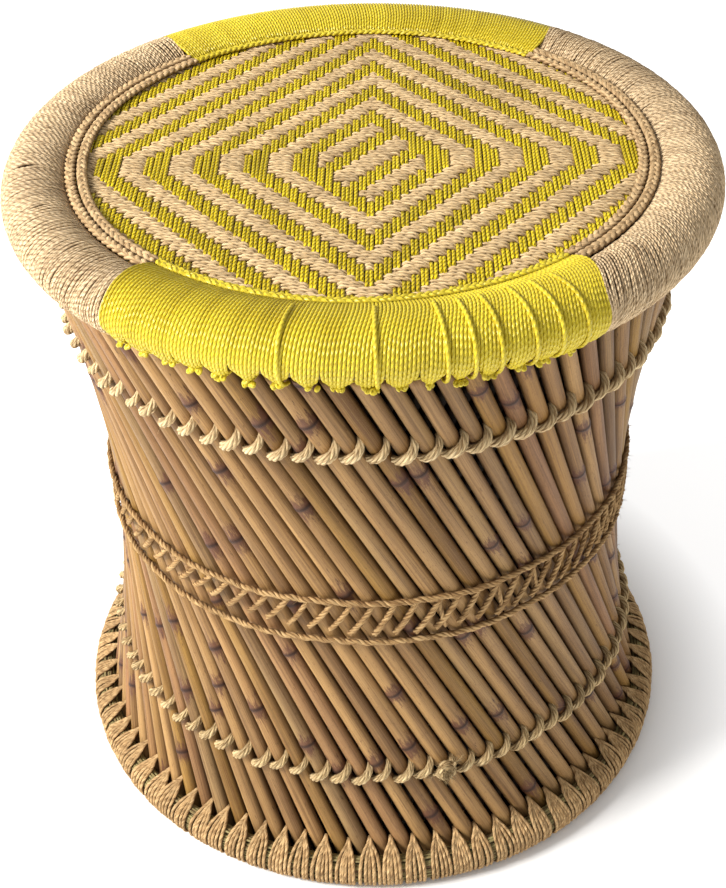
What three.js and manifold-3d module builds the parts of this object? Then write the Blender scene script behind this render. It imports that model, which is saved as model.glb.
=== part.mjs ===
// A mudda stool: two crossed layers of straight canes, pinched at the waist, tied between a roped
// rim and a roped foot ring, with a seat woven from jute and yellow cord in nested diamonds.
// Millimetres, +Z up, origin on the floor under the middle of the stool, front towards -Y.
import * as THREE from 'three';
import * as BufferGeometryUtils from 'three/addons/utils/BufferGeometryUtils.js';
import Module from 'manifold-3d';

const wasm = await Module();
wasm.setup();

// Clearances
const clearance = 0.3; // between two pieces that touch
const cutOverrun = 2; // how far a cutting solid passes what it cuts

// Rim: a thick roll of straw with cord wound round it in four stretches
const rimOuterRadius = 200;
const rimTopHeight = 417.5;
const rimWidth = 36.4;
const rimHeight = 32.2;
const rimWrapThickness = 2.4;
const rimBunchWidth = 21; // one turn of the winding: a bunch of cords side by side
const rimBunchGap = 0.6;

// Canes: straight reeds on a slant, so that both layers are drawn in at the waist
const caneDiameter = 10.7;
const waistDrawIn = 38; // from the rim's outside in to the outer canes at the waist
const waistHeight = 199.4;
const caneTopInset = 1.5; // the outer canes' tops stand this far inside the middle of the rim
const caneFootLift = 2; // the canes' ends stay this far off the floor
const canePinch = 0.35; // neighbours in one bundle press into each other this far at the waist
const bundleGap = 0.6; // least gap between two bundles

// Lashings round the canes
const upperLashingDrop = 53.3; // from the rim's underside down to the upper row of knots
const upperLashingThickness = 6;
const lowerLashingHeight = 78.3;
const lowerLashingThickness = 5;
const lashingRise = 8; // each knot climbs this much across its cane
const upperWaistRopeRise = 16.9; // from the waist
const lowerWaistRopeDrop = 13.5;
const waistRopeThickness = 4.4;
const crossLashingThickness = 3;

// Top hoop: a split cane bent inside the canes' tops
const hoopThickness = 4;
const hoopHeight = 18;
const hoopDrop = 6; // from the canes' tops down to the hoop

// Foot ring: a straw roll outside the canes' feet, bound by fans of jute
const footCoreWidth = 8.6;
const footCoreHeight = 15.2;
const footWrapThickness = 2.3;
const footFlatDepth = 0.6; // the binding is flattened this much where it stands on the floor
const fanTipHeight = 35;
const fanValleyDepth = 1; // how far the binding sinks in between two fans

// Seat: jute cords from side to side and yellow cords from front to back
const seatDrop = 7.4; // from the rim's top down to the seat
const seatThickness = 6;
const seatCordPitch = 4.52;
const hiddenCordWidth = 9; // of each band of yellow cords that passes under the jute
const braidHeight = 4.2;
const juteBraidWidth = 13;
const yellowBraidWidth = 6.5;
const braidGroove = 1.6; // between the two plaits of the jute braid
const braidRimGap = 2.5; // between the jute braid and the rim's inside

// Where the four stretches of the rim begin, in degrees from +X towards +Y
const yellowBackStartDegrees = 49.5;
const juteLeftStartDegrees = 130.5;
const yellowFrontStartDegrees = 227;
const juteRightStartDegrees = 307;
const degreesPerTurn = 360;

// Facets
const caneSides = 6;
const wrapSteps = 8; // round one turn of the rim winding
const ringSteps = 42; // round the stool
const hiddenRingSteps = 28; // round the rings that are covered up
const fullTurn = 2 * Math.PI;
const quarterTurn = fullTurn / 4;
const radians = THREE.MathUtils.degToRad;

// Counts of bundles of canes
const outerBundleCount = 14;
const innerBundleCount = 13;
const footSectorCount = 7;

// Finishes
function finish(color, roughness) {
  return new THREE.MeshStandardMaterial({ color, roughness, metalness: 0 });
}
const juteFinish = finish('#c8a878', 0.9);
const yellowFinish = finish('#c9c421', 0.45);
const caneFinish = finish('#c3a06a', 0.5);
const innerCaneFinish = finish('#9a7a4c', 0.6);
const strawFinish = finish('#a89a68', 0.95);
const knotFinish = finish('#d8cba0', 0.9);
const ropeFinish = finish('#b1935c', 0.95);

function polar(radius, angle, height) {
  return new THREE.Vector3(radius * Math.cos(angle), radius * Math.sin(angle), height);
}

// How far the middle of a straight side lies inside the circle through its ends
function chordSag(radius, steps) {
  return radius * (1 - Math.cos(Math.PI / steps));
}

// The volume inside a closed mesh, less than nothing where its faces point in
function signedVolume(points, faces) {
  let total = 0;
  for (let corner = 0; corner < faces.length; corner += 3) {
    const [first, second, third] = [0, 1, 2].map((offset) => points[faces[corner + offset]]);
    total += first.dot(new THREE.Vector3().crossVectors(second, third));
  }
  return total / 6;
}

// Closes the end of a loft with a strip of triangles from one half of its outline to the other
function capFaces(firstPoint, sides) {
  const faces = [];
  let low = 0;
  let high = sides - 1;
  while (high - low > 1) {
    faces.push(firstPoint + low, firstPoint + low + 1, firstPoint + high);
    low += 1;
    if (high - low > 1) {
      faces.push(firstPoint + low, firstPoint + high - 1, firstPoint + high);
      high -= 1;
    }
  }
  return faces;
}

// A closed solid through sections with equal numbers of points, either capped at both ends or
// running on from the last section into the first.
function loft(sections, isRing = false) {
  const sides = sections[0].length;
  const points = sections.flat();
  const faces = [];
  const spans = isRing ? sections.length : sections.length - 1;
  for (let span = 0; span < spans; span += 1) {
    const near = span * sides;
    const far = ((span + 1) % sections.length) * sides;
    for (let side = 0; side < sides; side += 1) {
      const next = (side + 1) % sides;
      faces.push(near + side, near + next, far + next);
      faces.push(near + side, far + next, far + side);
    }
  }
  if (!isRing) {
    faces.push(...capFaces(0, sides).reverse());
    faces.push(...capFaces(points.length - sides, sides));
  }
  if (signedVolume(points, faces) < 0) {
    faces.reverse();
  }
  const geometry = new THREE.BufferGeometry().setFromPoints(points);
  geometry.setIndex(faces);
  geometry.computeVertexNormals();
  return geometry;
}

function toManifold(geometry) {
  const bare = geometry.clone();
  bare.deleteAttribute('normal');
  bare.deleteAttribute('uv');
  const merged = BufferGeometryUtils.mergeVertices(bare);
  return new wasm.Manifold(new wasm.Mesh({
    numProp: 3,
    vertProperties: new Float32Array(merged.attributes.position.array),
    triVerts: new Uint32Array(merged.index.array),
  }));
}

function toGeometry(solid) {
  const { vertProperties, triVerts } = solid.getMesh();
  const geometry = new THREE.BufferGeometry();
  geometry.setAttribute('position', new THREE.BufferAttribute(vertProperties, 3));
  geometry.setIndex(new THREE.BufferAttribute(triVerts, 1));
  geometry.computeVertexNormals();
  return geometry;
}

function joined(geometries) {
  return geometries.map(toManifold).reduce((whole, next) => whole.add(next));
}

// A ring turned from a closed outline of [radius, height] points
function turnedRing(outline, steps) {
  const profile = [...outline, outline[0]].map(([radius, height]) => new THREE.Vector2(radius, height));
  return new THREE.LatheGeometry(profile, steps).rotateX(quarterTurn);
}

// Rim

const rimCentreRadius = rimOuterRadius - rimWidth / 2;
const rimCentreHeight = rimTopHeight - rimHeight / 2;
const rimUnderside = rimTopHeight - rimHeight;
const rimBunchCount = Math.round(fullTurn * rimCentreRadius / rimBunchWidth);
const rimBunchAngle = fullTurn / rimBunchCount;
const rimBunchHalfAngle = (rimBunchAngle - rimBunchGap / (rimOuterRadius - rimWidth)) / 2;
const rimCoreGap = clearance / Math.cos(Math.PI / wrapSteps) + chordSag(rimOuterRadius, hiddenRingSteps);

// A point on the rim's oval section, inset from its surface; turn 0 faces out and a quarter is up
function rimPoint(around, sectionAngle, inset) {
  const radius = rimCentreRadius + (rimWidth / 2 - inset) * Math.cos(sectionAngle);
  const height = rimCentreHeight + (rimHeight / 2 - inset) * Math.sin(sectionAngle);
  return polar(radius, around, height);
}

function rimCore() {
  const inset = rimWrapThickness + rimCoreGap;
  const outline = [];
  for (let step = 0; step < wrapSteps; step += 1) {
    const point = rimPoint(0, step * fullTurn / wrapSteps, inset);
    outline.push([point.x, point.z]);
  }
  return turnedRing(outline, hiddenRingSteps);
}

// The least distance between points of one turn of a winding and points of the next turns
function leastGapBetweenTurns(sections, sectionsPerTurn) {
  let least = Infinity;
  for (let first = 0; first < sections.length; first += 1) {
    for (let other = first + sectionsPerTurn / 2; other < sections.length; other += 1) {
      for (const point of sections[first]) {
        for (const otherPoint of sections[other]) {
          least = Math.min(least, point.distanceTo(otherPoint));
        }
      }
    }
  }
  return least;
}

// One flat bunch of cords, wound without a break from under the rim, up outside and over the top
function rimWinding(startDegrees, endDegrees, name) {
  const firstBunch = Math.round(radians(startDegrees) / rimBunchAngle);
  const lastBunch = Math.round(radians(endDegrees) / rimBunchAngle);
  const loops = lastBunch - firstBunch;
  const endGap = clearance / rimHeight; // as a share of a turn, where two windings meet
  const sections = [];
  for (let step = 0; step <= loops * wrapSteps; step += 1) {
    const turns = THREE.MathUtils.clamp(step / wrapSteps, endGap, loops - endGap);
    const middle = (firstBunch + turns) * rimBunchAngle;
    const sectionAngle = turns * fullTurn - quarterTurn;
    const [left, right] = [middle - rimBunchHalfAngle, middle + rimBunchHalfAngle];
    sections.push([
      rimPoint(left, sectionAngle, rimWrapThickness),
      rimPoint(right, sectionAngle, rimWrapThickness),
      rimPoint(right, sectionAngle, 0),
      rimPoint(left, sectionAngle, 0),
    ]);
  }
  const gap = leastGapBetweenTurns(sections, wrapSteps);
  console.log(`${name}: ${loops} turns, least gap between turns ${gap.toFixed(2)} mm`);
  return loft(sections);
}

// Canes

const caneTopHeight = rimUnderside - clearance;
const caneTopRise = caneTopHeight - waistHeight;
const caneCornerRadius = caneDiameter / 2;

// The axis of a layer's canes: its radius at the waist and how far it runs sideways as it rises
function caneLayer(waistAxisRadius, topAxisRadius, lean, bundleCount) {
  const run = Math.sqrt(topAxisRadius ** 2 - waistAxisRadius ** 2) / caneTopRise;
  const slantCosine = 1 / Math.hypot(1, run);
  const bundlePitch = fullTurn * waistAxisRadius * slantCosine / bundleCount;
  const neighbourPitch = caneDiameter - canePinch;
  const spare = bundlePitch - bundleGap - caneDiameter;
  return {
    waistAxisRadius,
    run: run * lean,
    slantCosine,
    bundleCount,
    canesPerBundle: 1 + Math.floor(spare / neighbourPitch),
    neighbourAngle: neighbourPitch / (waistAxisRadius * slantCosine),
  };
}

const outerWaistAxisRadius = rimOuterRadius - waistDrawIn - caneDiameter / 2;
const outerTopAxisRadius = rimCentreRadius - caneTopInset;
const outerLayer = caneLayer(outerWaistAxisRadius, outerTopAxisRadius, -1, outerBundleCount);

const outerCaneCount = outerLayer.bundleCount * outerLayer.canesPerBundle;

// Crossed canes touch corner to corner, and the layers' walls lean outwards towards the top
const layerSpacing = 2 * caneCornerRadius + clearance;
const topWallSlope = outerLayer.run ** 2 * caneTopRise / outerTopAxisRadius;
const innerLayer = caneLayer(
  outerWaistAxisRadius - layerSpacing,
  outerTopAxisRadius - layerSpacing * Math.hypot(1, topWallSlope),
  1,
  innerBundleCount,
);

// The corners of a cane's level section at a height, for the cane that crosses the waist at +X
function caneSection(layer, height) {
  const corners = [];
  for (let side = 0; side < caneSides; side += 1) {
    const angle = quarterTurn + side * fullTurn / caneSides;
    corners.push(new THREE.Vector2(
      layer.waistAxisRadius + caneCornerRadius * Math.cos(angle),
      caneCornerRadius * Math.sin(angle) / layer.slantCosine + layer.run * (height - waistHeight),
    ));
  }
  return corners;
}

// How far out, and how near the middle, the canes of a layer come between two heights
function caneReach(layer, heights) {
  return Math.max(...heights.flatMap((height) => caneSection(layer, height).map((corner) => corner.length())));
}
function caneInnerReach(layer, heights) {
  return Math.min(...heights.flatMap((height) => caneSection(layer, height).map((corner) => corner.length())));
}

// Where each cane of a layer crosses the waist, as an angle, bundle by bundle
function caneAngles(layer, bundle) {
  const angles = [];
  for (let cane = 0; cane < layer.canesPerBundle; cane += 1) {
    const place = cane - (layer.canesPerBundle - 1) / 2;
    angles.push(bundle * fullTurn / layer.bundleCount + place * layer.neighbourAngle);
  }
  return angles;
}

// An upright cylinder, widened sideways and sheared to its slant, so that its ends are cut level
function cane(layer, angle) {
  const length = caneTopHeight - caneFootLift;
  const geometry = new THREE.CylinderGeometry(caneCornerRadius, caneCornerRadius, length, caneSides);
  geometry.rotateX(quarterTurn);
  geometry.translate(0, 0, caneFootLift + length / 2 - waistHeight);
  geometry.applyMatrix4(new THREE.Matrix4().makeBasis(
    new THREE.Vector3(1, 0, 0),
    new THREE.Vector3(0, 1 / layer.slantCosine, 0),
    new THREE.Vector3(0, layer.run, 1),
  ));
  geometry.translate(layer.waistAxisRadius, 0, waistHeight);
  return geometry.rotateZ(angle);
}

function caneBundle(layer, bundle) {
  return toGeometry(joined(caneAngles(layer, bundle).map((angle) => cane(layer, angle))));
}

// The angle by which a cane has turned round the stool between the waist and a height
function caneTurn(layer, height) {
  return Math.atan2(layer.run * (height - waistHeight), layer.waistAxisRadius);
}

// Lashings

const upperLashingHeight = rimUnderside - upperLashingDrop;
const upperWaistRopeHeight = waistHeight + upperWaistRopeRise;
const lowerWaistRopeHeight = waistHeight - lowerWaistRopeDrop;

// How far out a rope's axis runs where the rope lies on the outer canes
function ropeAxisRadius(height, depth, sides, steps) {
  const halfFlat = depth * Math.tan(Math.PI / sides);
  const reach = caneReach(outerLayer, [height - halfFlat, height + halfFlat]);
  return reach + clearance + depth + chordSag(reach, steps);
}

// A rope that climbs across each outer cane and drops back in the gap before the next one
function climbingRope(height, rise, thickness, sides) {
  const climbShare = 0.7; // of the pitch of the canes
  const low = height - rise / 2;
  const high = height + rise / 2;
  const depth = thickness / 2;
  const lowRadius = ropeAxisRadius(low, depth, sides, outerCaneCount);
  const highRadius = ropeAxisRadius(high, depth, sides, outerCaneCount);
  const sections = [];
  for (let bundle = 0; bundle < outerLayer.bundleCount; bundle += 1) {
    for (const angle of caneAngles(outerLayer, bundle)) {
      const middle = angle + caneTurn(outerLayer, height);
      const halfClimb = outerLayer.neighbourAngle * climbShare / 2;
      sections.push(ropeSection(lowRadius, middle - halfClimb, low, depth, sides));
      sections.push(ropeSection(highRadius, middle + halfClimb, high, depth, sides));
    }
  }
  return loft(sections, true);
}

// An upright section of a rope, with a flat side towards the canes
function ropeSection(axisRadius, around, height, depth, sides) {
  const points = [];
  for (let side = 0; side < sides; side += 1) {
    const angle = (side + 1 / 2) * fullTurn / sides + Math.PI;
    const cornerRadius = depth / Math.cos(Math.PI / sides);
    const outwards = Math.max(cornerRadius * Math.cos(angle), -depth);
    points.push(polar(axisRadius + outwards, around, height + cornerRadius * Math.sin(angle)));
  }
  return points;
}

function waistRope(height) {
  const ropeSides = 4;
  const depth = waistRopeThickness / 2;
  const axisRadius = ropeAxisRadius(height, depth, ropeSides, ringSteps);
  const outline = ropeSection(axisRadius, 0, height, depth, ropeSides).map((point) => [point.x, point.z]);
  return turnedRing(outline, ringSteps);
}

function waistCrossLashing() {
  const lashingSides = 3;
  const room = upperWaistRopeHeight - lowerWaistRopeHeight - waistRopeThickness - 2 * clearance;
  const cornerHeight = crossLashingThickness / Math.cos(Math.PI / lashingSides);
  const middle = (upperWaistRopeHeight + lowerWaistRopeHeight) / 2;
  return climbingRope(middle, room - cornerHeight, crossLashingThickness, lashingSides);
}

function topHoop() {
  const top = caneTopHeight - hoopDrop;
  const bottom = top - hoopHeight;
  const outerTop = caneInnerReach(innerLayer, [top]) - clearance;
  const outerBottom = caneInnerReach(innerLayer, [bottom]) - clearance;
  return turnedRing([
    [outerBottom, bottom],
    [outerTop, top],
    [outerTop - hoopThickness, top],
    [outerBottom - hoopThickness, bottom],
  ], hiddenRingSteps);
}

// Foot ring

const footHalfWidth = footCoreWidth / 2;
const footHalfHeight = footCoreHeight / 2;
const footBindingInset = clearance + footWrapThickness;
const footCentreHeight = footHalfHeight + footBindingInset - footFlatDepth;
const footFlatAngle = radians(75); // the binding stands on the floor between this and its mirror

// How far out the ring's middle lies for a corner of its section, this far inside it, to clear the canes
function footMiddleRadius(cornerHeight, inset) {
  return caneReach(outerLayer, [Math.max(cornerHeight, caneFootLift)]) + clearance + inset;
}
const footCoreSag = chordSag(rimOuterRadius, hiddenRingSteps);
const footCoreFoot = footCentreHeight - footHalfHeight * Math.sin(footFlatAngle);
const footCentreRadius = Math.max(
  footMiddleRadius(footCentreHeight, footHalfWidth) + footCoreSag,
  footMiddleRadius(footCoreFoot, footHalfWidth * Math.cos(footFlatAngle)) + footCoreSag,
  footMiddleRadius(0, (footHalfWidth + footBindingInset) * Math.cos(footFlatAngle)),
);

// Where a fan's inner side starts, and the place on the roll's section that a straight line from
// there touches, which is where the strands leave the roll
const fanTipRadius = caneReach(outerLayer, [fanTipHeight - footWrapThickness]) + clearance;
function footShoulder() {
  const across = (fanTipRadius - footCentreRadius) / (footHalfWidth + clearance);
  const up = (fanTipHeight - footWrapThickness - footCentreHeight) / (footHalfHeight + clearance);
  return Math.atan2(up, across) - Math.acos(1 / Math.hypot(across, up));
}
const footShoulderAngle = footShoulder();

// A point on the foot ring's section, offset from the straw roll's surface
function footPoint(sectionAngle, offset) {
  return [
    footCentreRadius + (footHalfWidth + offset) * Math.cos(sectionAngle),
    footCentreHeight + (footHalfHeight + offset) * Math.sin(sectionAngle),
  ];
}

function footCore() {
  const upper = [0, footFlatAngle, Math.PI - footFlatAngle];
  const outline = [...upper, ...upper.map((angle) => angle + Math.PI)].map((angle) => footPoint(angle, 0));
  return turnedRing(outline, hiddenRingSteps);
}

// The binding's section where its strands are gathered into a fan's tip, or in the valley between
// two fans: its outer outline from the top down to the floor, then its inner outline back up.
function footBindingSection(isTip) {
  const sink = isTip ? 0 : fanValleyDepth;
  const outer = footBindingInset - sink;
  const floor = [footPoint(-footFlatAngle, outer)[0], footPoint(Math.PI + footFlatAngle, outer)[0]];
  const top = isTip
    ? [[fanTipRadius + footWrapThickness, fanTipHeight], [fanTipRadius, fanTipHeight - footWrapThickness]]
    : [footPoint(footFlatAngle, outer), footPoint(footFlatAngle, clearance)];
  return [
    top[0],
    footPoint(footShoulderAngle, outer),
    footPoint(0, outer),
    [floor[0], 0],
    [floor[1], 0],
    footPoint(Math.PI + footFlatAngle, clearance),
    footPoint(-footFlatAngle, clearance),
    footPoint(0, clearance),
    footPoint(footShoulderAngle, clearance),
    top[1],
  ];
}

// The gaps between the outer canes just above the foot ring, as angles round the stool
function caneGapAngles() {
  const turn = caneTurn(outerLayer, fanTipHeight);
  const angles = [];
  for (let bundle = 0; bundle < outerLayer.bundleCount; bundle += 1) {
    angles.push(...caneAngles(outerLayer, bundle).map((angle) => angle + turn));
  }
  return angles.map((angle, index) => {
    const next = index + 1 < angles.length ? angles[index + 1] : angles[0] + fullTurn;
    return (angle + next) / 2;
  });
}

// A seventh part of the binding: fans of jute strands, one for each gap between two canes
function footBinding(sector) {
  const gaps = caneGapAngles();
  const first = Math.round(sector * gaps.length / footSectorCount);
  const last = Math.round((sector + 1) * gaps.length / footSectorCount);
  const gapAt = (index) => gaps[index % gaps.length] + fullTurn * Math.floor(index / gaps.length);
  const endGap = clearance / footCentreRadius;
  const tip = footBindingSection(true);
  const valley = footBindingSection(false);
  const at = (outline, angle) => outline.map(([radius, height]) => polar(radius, angle, height));
  const firstValley = (gapAt(first + gaps.length - 1) - fullTurn + gapAt(first)) / 2;
  const sections = [at(valley, firstValley + endGap)];
  for (let fan = first; fan < last; fan += 1) {
    const nextValley = (gapAt(fan) + gapAt(fan + 1)) / 2;
    sections.push(at(tip, gapAt(fan)));
    sections.push(at(valley, fan + 1 < last ? nextValley : nextValley - endGap));
  }
  return loft(sections);
}

// Seat

const seatTopHeight = rimTopHeight - seatDrop;
const seatUnderside = seatTopHeight - seatThickness;
const seatMiddleHeight = seatTopHeight - seatThickness / 2;
const braidBottom = seatTopHeight + clearance;

// The radius of the rim's inside at a height, on a straight side of the winding's section
function rimInsideRadius(height) {
  const widest = rimPoint(0, Math.PI, 0);
  const next = rimPoint(0, Math.PI - fullTurn / wrapSteps, 0);
  const share = (height - widest.z) / (next.z - widest.z);
  return Math.abs(THREE.MathUtils.lerp(widest.x, next.x, share)) - chordSag(rimOuterRadius, rimBunchCount);
}

const seatBorderRadius = rimInsideRadius(seatUnderside) - 2 * clearance;
const seatWeaveRadius = rimInsideRadius(braidBottom) - braidRimGap - juteBraidWidth;

function disc(radius, bottom, top) {
  const geometry = new THREE.CylinderGeometry(radius, radius, top - bottom, ringSteps);
  return toManifold(geometry.rotateX(quarterTurn).translate(0, 0, (top + bottom) / 2));
}

function diamond(tipDistance, bottom, top) {
  const diamondSides = 4;
  const geometry = new THREE.CylinderGeometry(tipDistance, tipDistance, top - bottom, diamondSides);
  return toManifold(geometry.rotateX(quarterTurn).translate(0, 0, (top + bottom) / 2));
}

// The twill repeats every six cords: the yellow cords float over three and dive under three
const cordsPerRepeat = 6;
const cordsPerFloat = 3;
const firstRepeatCord = 6.5; // the first yellow diamond starts this many cords from the middle

// Hidden bands of yellow cords: one in the middle and one at each side, this far out
const sidePlaceShare = 0.61; // of the weave's radius
const sidePlace = sidePlaceShare * seatWeaveRadius;

// How far forward a band of hidden cords reaches at a place across the weave
function bandReach(place) {
  return Math.sqrt(seatWeaveRadius ** 2 - (place + hiddenCordWidth / 2) ** 2);
}

// How many diamonds have their middle within a number of cords from the seat's middle
function diamondsWithin(cords) {
  return 1 + Math.floor((cords - firstRepeatCord - cordsPerFloat / 2) / cordsPerRepeat);
}
const diamondCount = diamondsWithin((sidePlace + bandReach(sidePlace)) / seatCordPitch);
const wholeDiamondCount = diamondsWithin(seatWeaveRadius / seatCordPitch - cordsPerFloat / 2);

// Slanting floats inside the first diamond, which run on into it
function middleStripes(spare, bottom, top) {
  const stripeCount = 2;
  const stripeWidth = cordsPerFloat * seatCordPitch / Math.SQRT2;
  let stripes = null;
  for (let stripe = 0; stripe < stripeCount; stripe += 1) {
    const offset = (stripe - (stripeCount - 1) / 2) * 2 * stripeWidth;
    const box = new THREE.BoxGeometry(2 * seatWeaveRadius, stripeWidth - 2 * spare, top - bottom);
    box.translate(0, offset, (top + bottom) / 2).rotateZ(quarterTurn / 2);
    const solid = toManifold(box);
    stripes = stripes ? stripes.add(solid) : solid;
  }
  const middle = diamond((firstRepeatCord + 1) * seatCordPitch, bottom, top);
  return stripes.intersect(middle);
}

// Where the yellow cords lie on top, drawn in on every side by the spare distance
function yellowZones(spare, bottom, top) {
  let zones = middleStripes(spare, bottom, top);
  for (let repeat = 0; repeat < diamondCount; repeat += 1) {
    const inner = (firstRepeatCord + repeat * cordsPerRepeat) * seatCordPitch + spare * Math.SQRT2;
    const outer = inner + cordsPerFloat * seatCordPitch - 2 * spare * Math.SQRT2;
    const ring = diamond(outer, bottom, top).subtract(
      diamond(inner, bottom - cutOverrun, top + cutOverrun),
    );
    zones = zones.add(ring);
  }
  return zones.intersect(disc(seatWeaveRadius - spare, bottom - cutOverrun, top + cutOverrun));
}

// A band of yellow cords that passes from front to back beneath the jute
function hiddenBand(place, start, end, spare, bottom, top) {
  const box = new THREE.BoxGeometry(hiddenCordWidth - 2 * spare, end - start - 2 * spare, top - bottom);
  return box.translate(place, (start + end) / 2, (top + bottom) / 2);
}

// One band joins the whole diamonds, and four short ones join the cut ones beyond them
function hiddenCords(spare, bottom, top) {
  const lastWholeCord = firstRepeatCord + (wholeDiamondCount - 1) * cordsPerRepeat + cordsPerFloat / 2;
  const sideStart = lastWholeCord * seatCordPitch - sidePlace;
  const bands = [hiddenBand(0, -bandReach(0), bandReach(0), spare, bottom, top)];
  for (const place of [-sidePlace, sidePlace]) {
    bands.push(hiddenBand(place, sideStart, bandReach(sidePlace), spare, bottom, top));
    bands.push(hiddenBand(place, -bandReach(sidePlace), -sideStart, spare, bottom, top));
  }
  return joined(bands);
}

function yellowCords() {
  const float = yellowZones(clearance, seatMiddleHeight + clearance, seatTopHeight);
  const hidden = hiddenCords(clearance, seatUnderside, seatMiddleHeight - clearance);
  const rising = yellowZones(clearance, seatUnderside, seatTopHeight).intersect(
    hiddenCords(clearance, seatUnderside, seatTopHeight),
  );
  return toGeometry(float.add(hidden).add(rising));
}

function juteCords() {
  const panel = disc(seatBorderRadius, seatUnderside, seatTopHeight);
  const grooves = yellowZones(0, seatMiddleHeight, seatTopHeight + cutOverrun);
  const channels = hiddenCords(0, seatUnderside - cutOverrun, seatMiddleHeight);
  return toGeometry(panel.subtract(grooves).subtract(channels));
}

// A plait along the seat's edge; the jute one is a pair of plaits with a groove between them
function braid(startDegrees, endDegrees, width, isPair) {
  const stepDegrees = 7.5;
  const steps = Math.round((endDegrees - startDegrees) / stepDegrees);
  const endGap = clearance / seatWeaveRadius;
  const [start, end] = [radians(startDegrees) + endGap, radians(endDegrees) - endGap];
  const top = braidBottom + braidHeight;
  const shoulderShare = isPair ? 1 / 8 : 1 / 4; // of the width, a quarter of each plait
  const shoulder = width * shoulderShare;
  const middle = width / 2;
  const groove = isPair ? [[middle + shoulder, top], [middle, top - braidGroove], [middle - shoulder, top]] : [];
  const floor = [[0, braidBottom], [width, braidBottom]];
  const outline = [...floor, [width - shoulder, top], ...groove, [shoulder, top]];
  const sections = [];
  for (let step = 0; step <= steps; step += 1) {
    const angle = THREE.MathUtils.lerp(start, end, step / steps);
    sections.push(outline.map(([offset, height]) => polar(seatWeaveRadius + offset, angle, height)));
  }
  return loft(sections);
}

// Assembly

function mesh(name, geometry, material) {
  const piece = new THREE.Mesh(geometry, material);
  piece.name = name;
  return piece;
}

function numbered(name, index) {
  return `${name}_${String(index + 1).padStart(2, '0')}`;
}

const stretches = [
  { name: 'yellow_back', start: yellowBackStartDegrees, end: juteLeftStartDegrees, isYellow: true },
  { name: 'jute_left', start: juteLeftStartDegrees, end: yellowFrontStartDegrees, isYellow: false },
  { name: 'yellow_front', start: yellowFrontStartDegrees, end: juteRightStartDegrees, isYellow: true },
  {
    name: 'jute_right',
    start: juteRightStartDegrees,
    end: yellowBackStartDegrees + degreesPerTurn,
    isYellow: false,
  },
];

const rim = new THREE.Group();
rim.add(mesh('rim_core', rimCore(), strawFinish));
for (const { name, start, end, isYellow } of stretches) {
  const wrapName = `rim_wrap_${name}`;
  rim.add(mesh(wrapName, rimWinding(start, end, wrapName), isYellow ? yellowFinish : juteFinish));
}

const canes = new THREE.Group();
for (let bundle = 0; bundle < outerLayer.bundleCount; bundle += 1) {
  canes.add(mesh(numbered('outer_canes', bundle), caneBundle(outerLayer, bundle), caneFinish));
}
for (let bundle = 0; bundle < innerLayer.bundleCount; bundle += 1) {
  canes.add(mesh(numbered('inner_canes', bundle), caneBundle(innerLayer, bundle), innerCaneFinish));
}
canes.add(mesh('top_hoop', topHoop(), innerCaneFinish));

const lashings = new THREE.Group();
const knotSides = 3;
lashings.add(mesh(
  'upper_lashing',
  climbingRope(upperLashingHeight, lashingRise, upperLashingThickness, knotSides),
  knotFinish,
));
lashings.add(mesh(
  'lower_lashing',
  climbingRope(lowerLashingHeight, lashingRise, lowerLashingThickness, knotSides),
  knotFinish,
));
lashings.add(mesh('waist_rope_upper', waistRope(upperWaistRopeHeight), ropeFinish));
lashings.add(mesh('waist_rope_lower', waistRope(lowerWaistRopeHeight), ropeFinish));
lashings.add(mesh('waist_cross_lashing', waistCrossLashing(), ropeFinish));

const foot = new THREE.Group();
foot.add(mesh('foot_core', footCore(), strawFinish));
for (let sector = 0; sector < footSectorCount; sector += 1) {
  foot.add(mesh(numbered('foot_binding', sector), footBinding(sector), juteFinish));
}

const seat = new THREE.Group();
seat.add(mesh('seat_jute_cords', juteCords(), juteFinish));
seat.add(mesh('seat_yellow_cords', yellowCords(), yellowFinish));
for (const { name, start, end, isYellow } of stretches) {
  const width = isYellow ? yellowBraidWidth : juteBraidWidth;
  seat.add(mesh(`braid_${name}`, braid(start, end, width, !isYellow), isYellow ? yellowFinish : juteFinish));
}

const stool = new THREE.Group();
stool.add(rim, canes, lashings, foot, seat);

export default stool;
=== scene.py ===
"""A mudda stool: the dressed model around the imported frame.

Shapes are worked out in millimetres, in the frame's own axes, and become metres in Strands.piece.
Angles round the stool run from +X towards +Y, in radians unless a name or a comment says degrees.
"""

import math

import bpy
import numpy as np
from mathutils import Matrix, Vector


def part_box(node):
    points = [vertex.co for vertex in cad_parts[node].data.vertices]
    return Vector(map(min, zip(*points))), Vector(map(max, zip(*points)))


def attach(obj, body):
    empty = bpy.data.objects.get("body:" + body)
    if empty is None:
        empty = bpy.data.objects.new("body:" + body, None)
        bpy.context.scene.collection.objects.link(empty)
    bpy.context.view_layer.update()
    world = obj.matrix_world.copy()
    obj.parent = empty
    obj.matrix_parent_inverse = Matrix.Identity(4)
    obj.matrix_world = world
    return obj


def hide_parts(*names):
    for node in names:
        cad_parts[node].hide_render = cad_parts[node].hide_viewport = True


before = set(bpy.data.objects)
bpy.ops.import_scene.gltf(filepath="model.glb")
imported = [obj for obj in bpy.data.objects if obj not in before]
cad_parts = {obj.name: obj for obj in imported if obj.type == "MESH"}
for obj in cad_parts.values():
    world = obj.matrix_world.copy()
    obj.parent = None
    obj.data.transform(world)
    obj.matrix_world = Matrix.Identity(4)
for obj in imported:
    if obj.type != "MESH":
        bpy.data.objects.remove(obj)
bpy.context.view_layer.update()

METRES = 0.001
FULL_TURN = 2 * math.pi
UPWARDS = (0, 0, 1)

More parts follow.
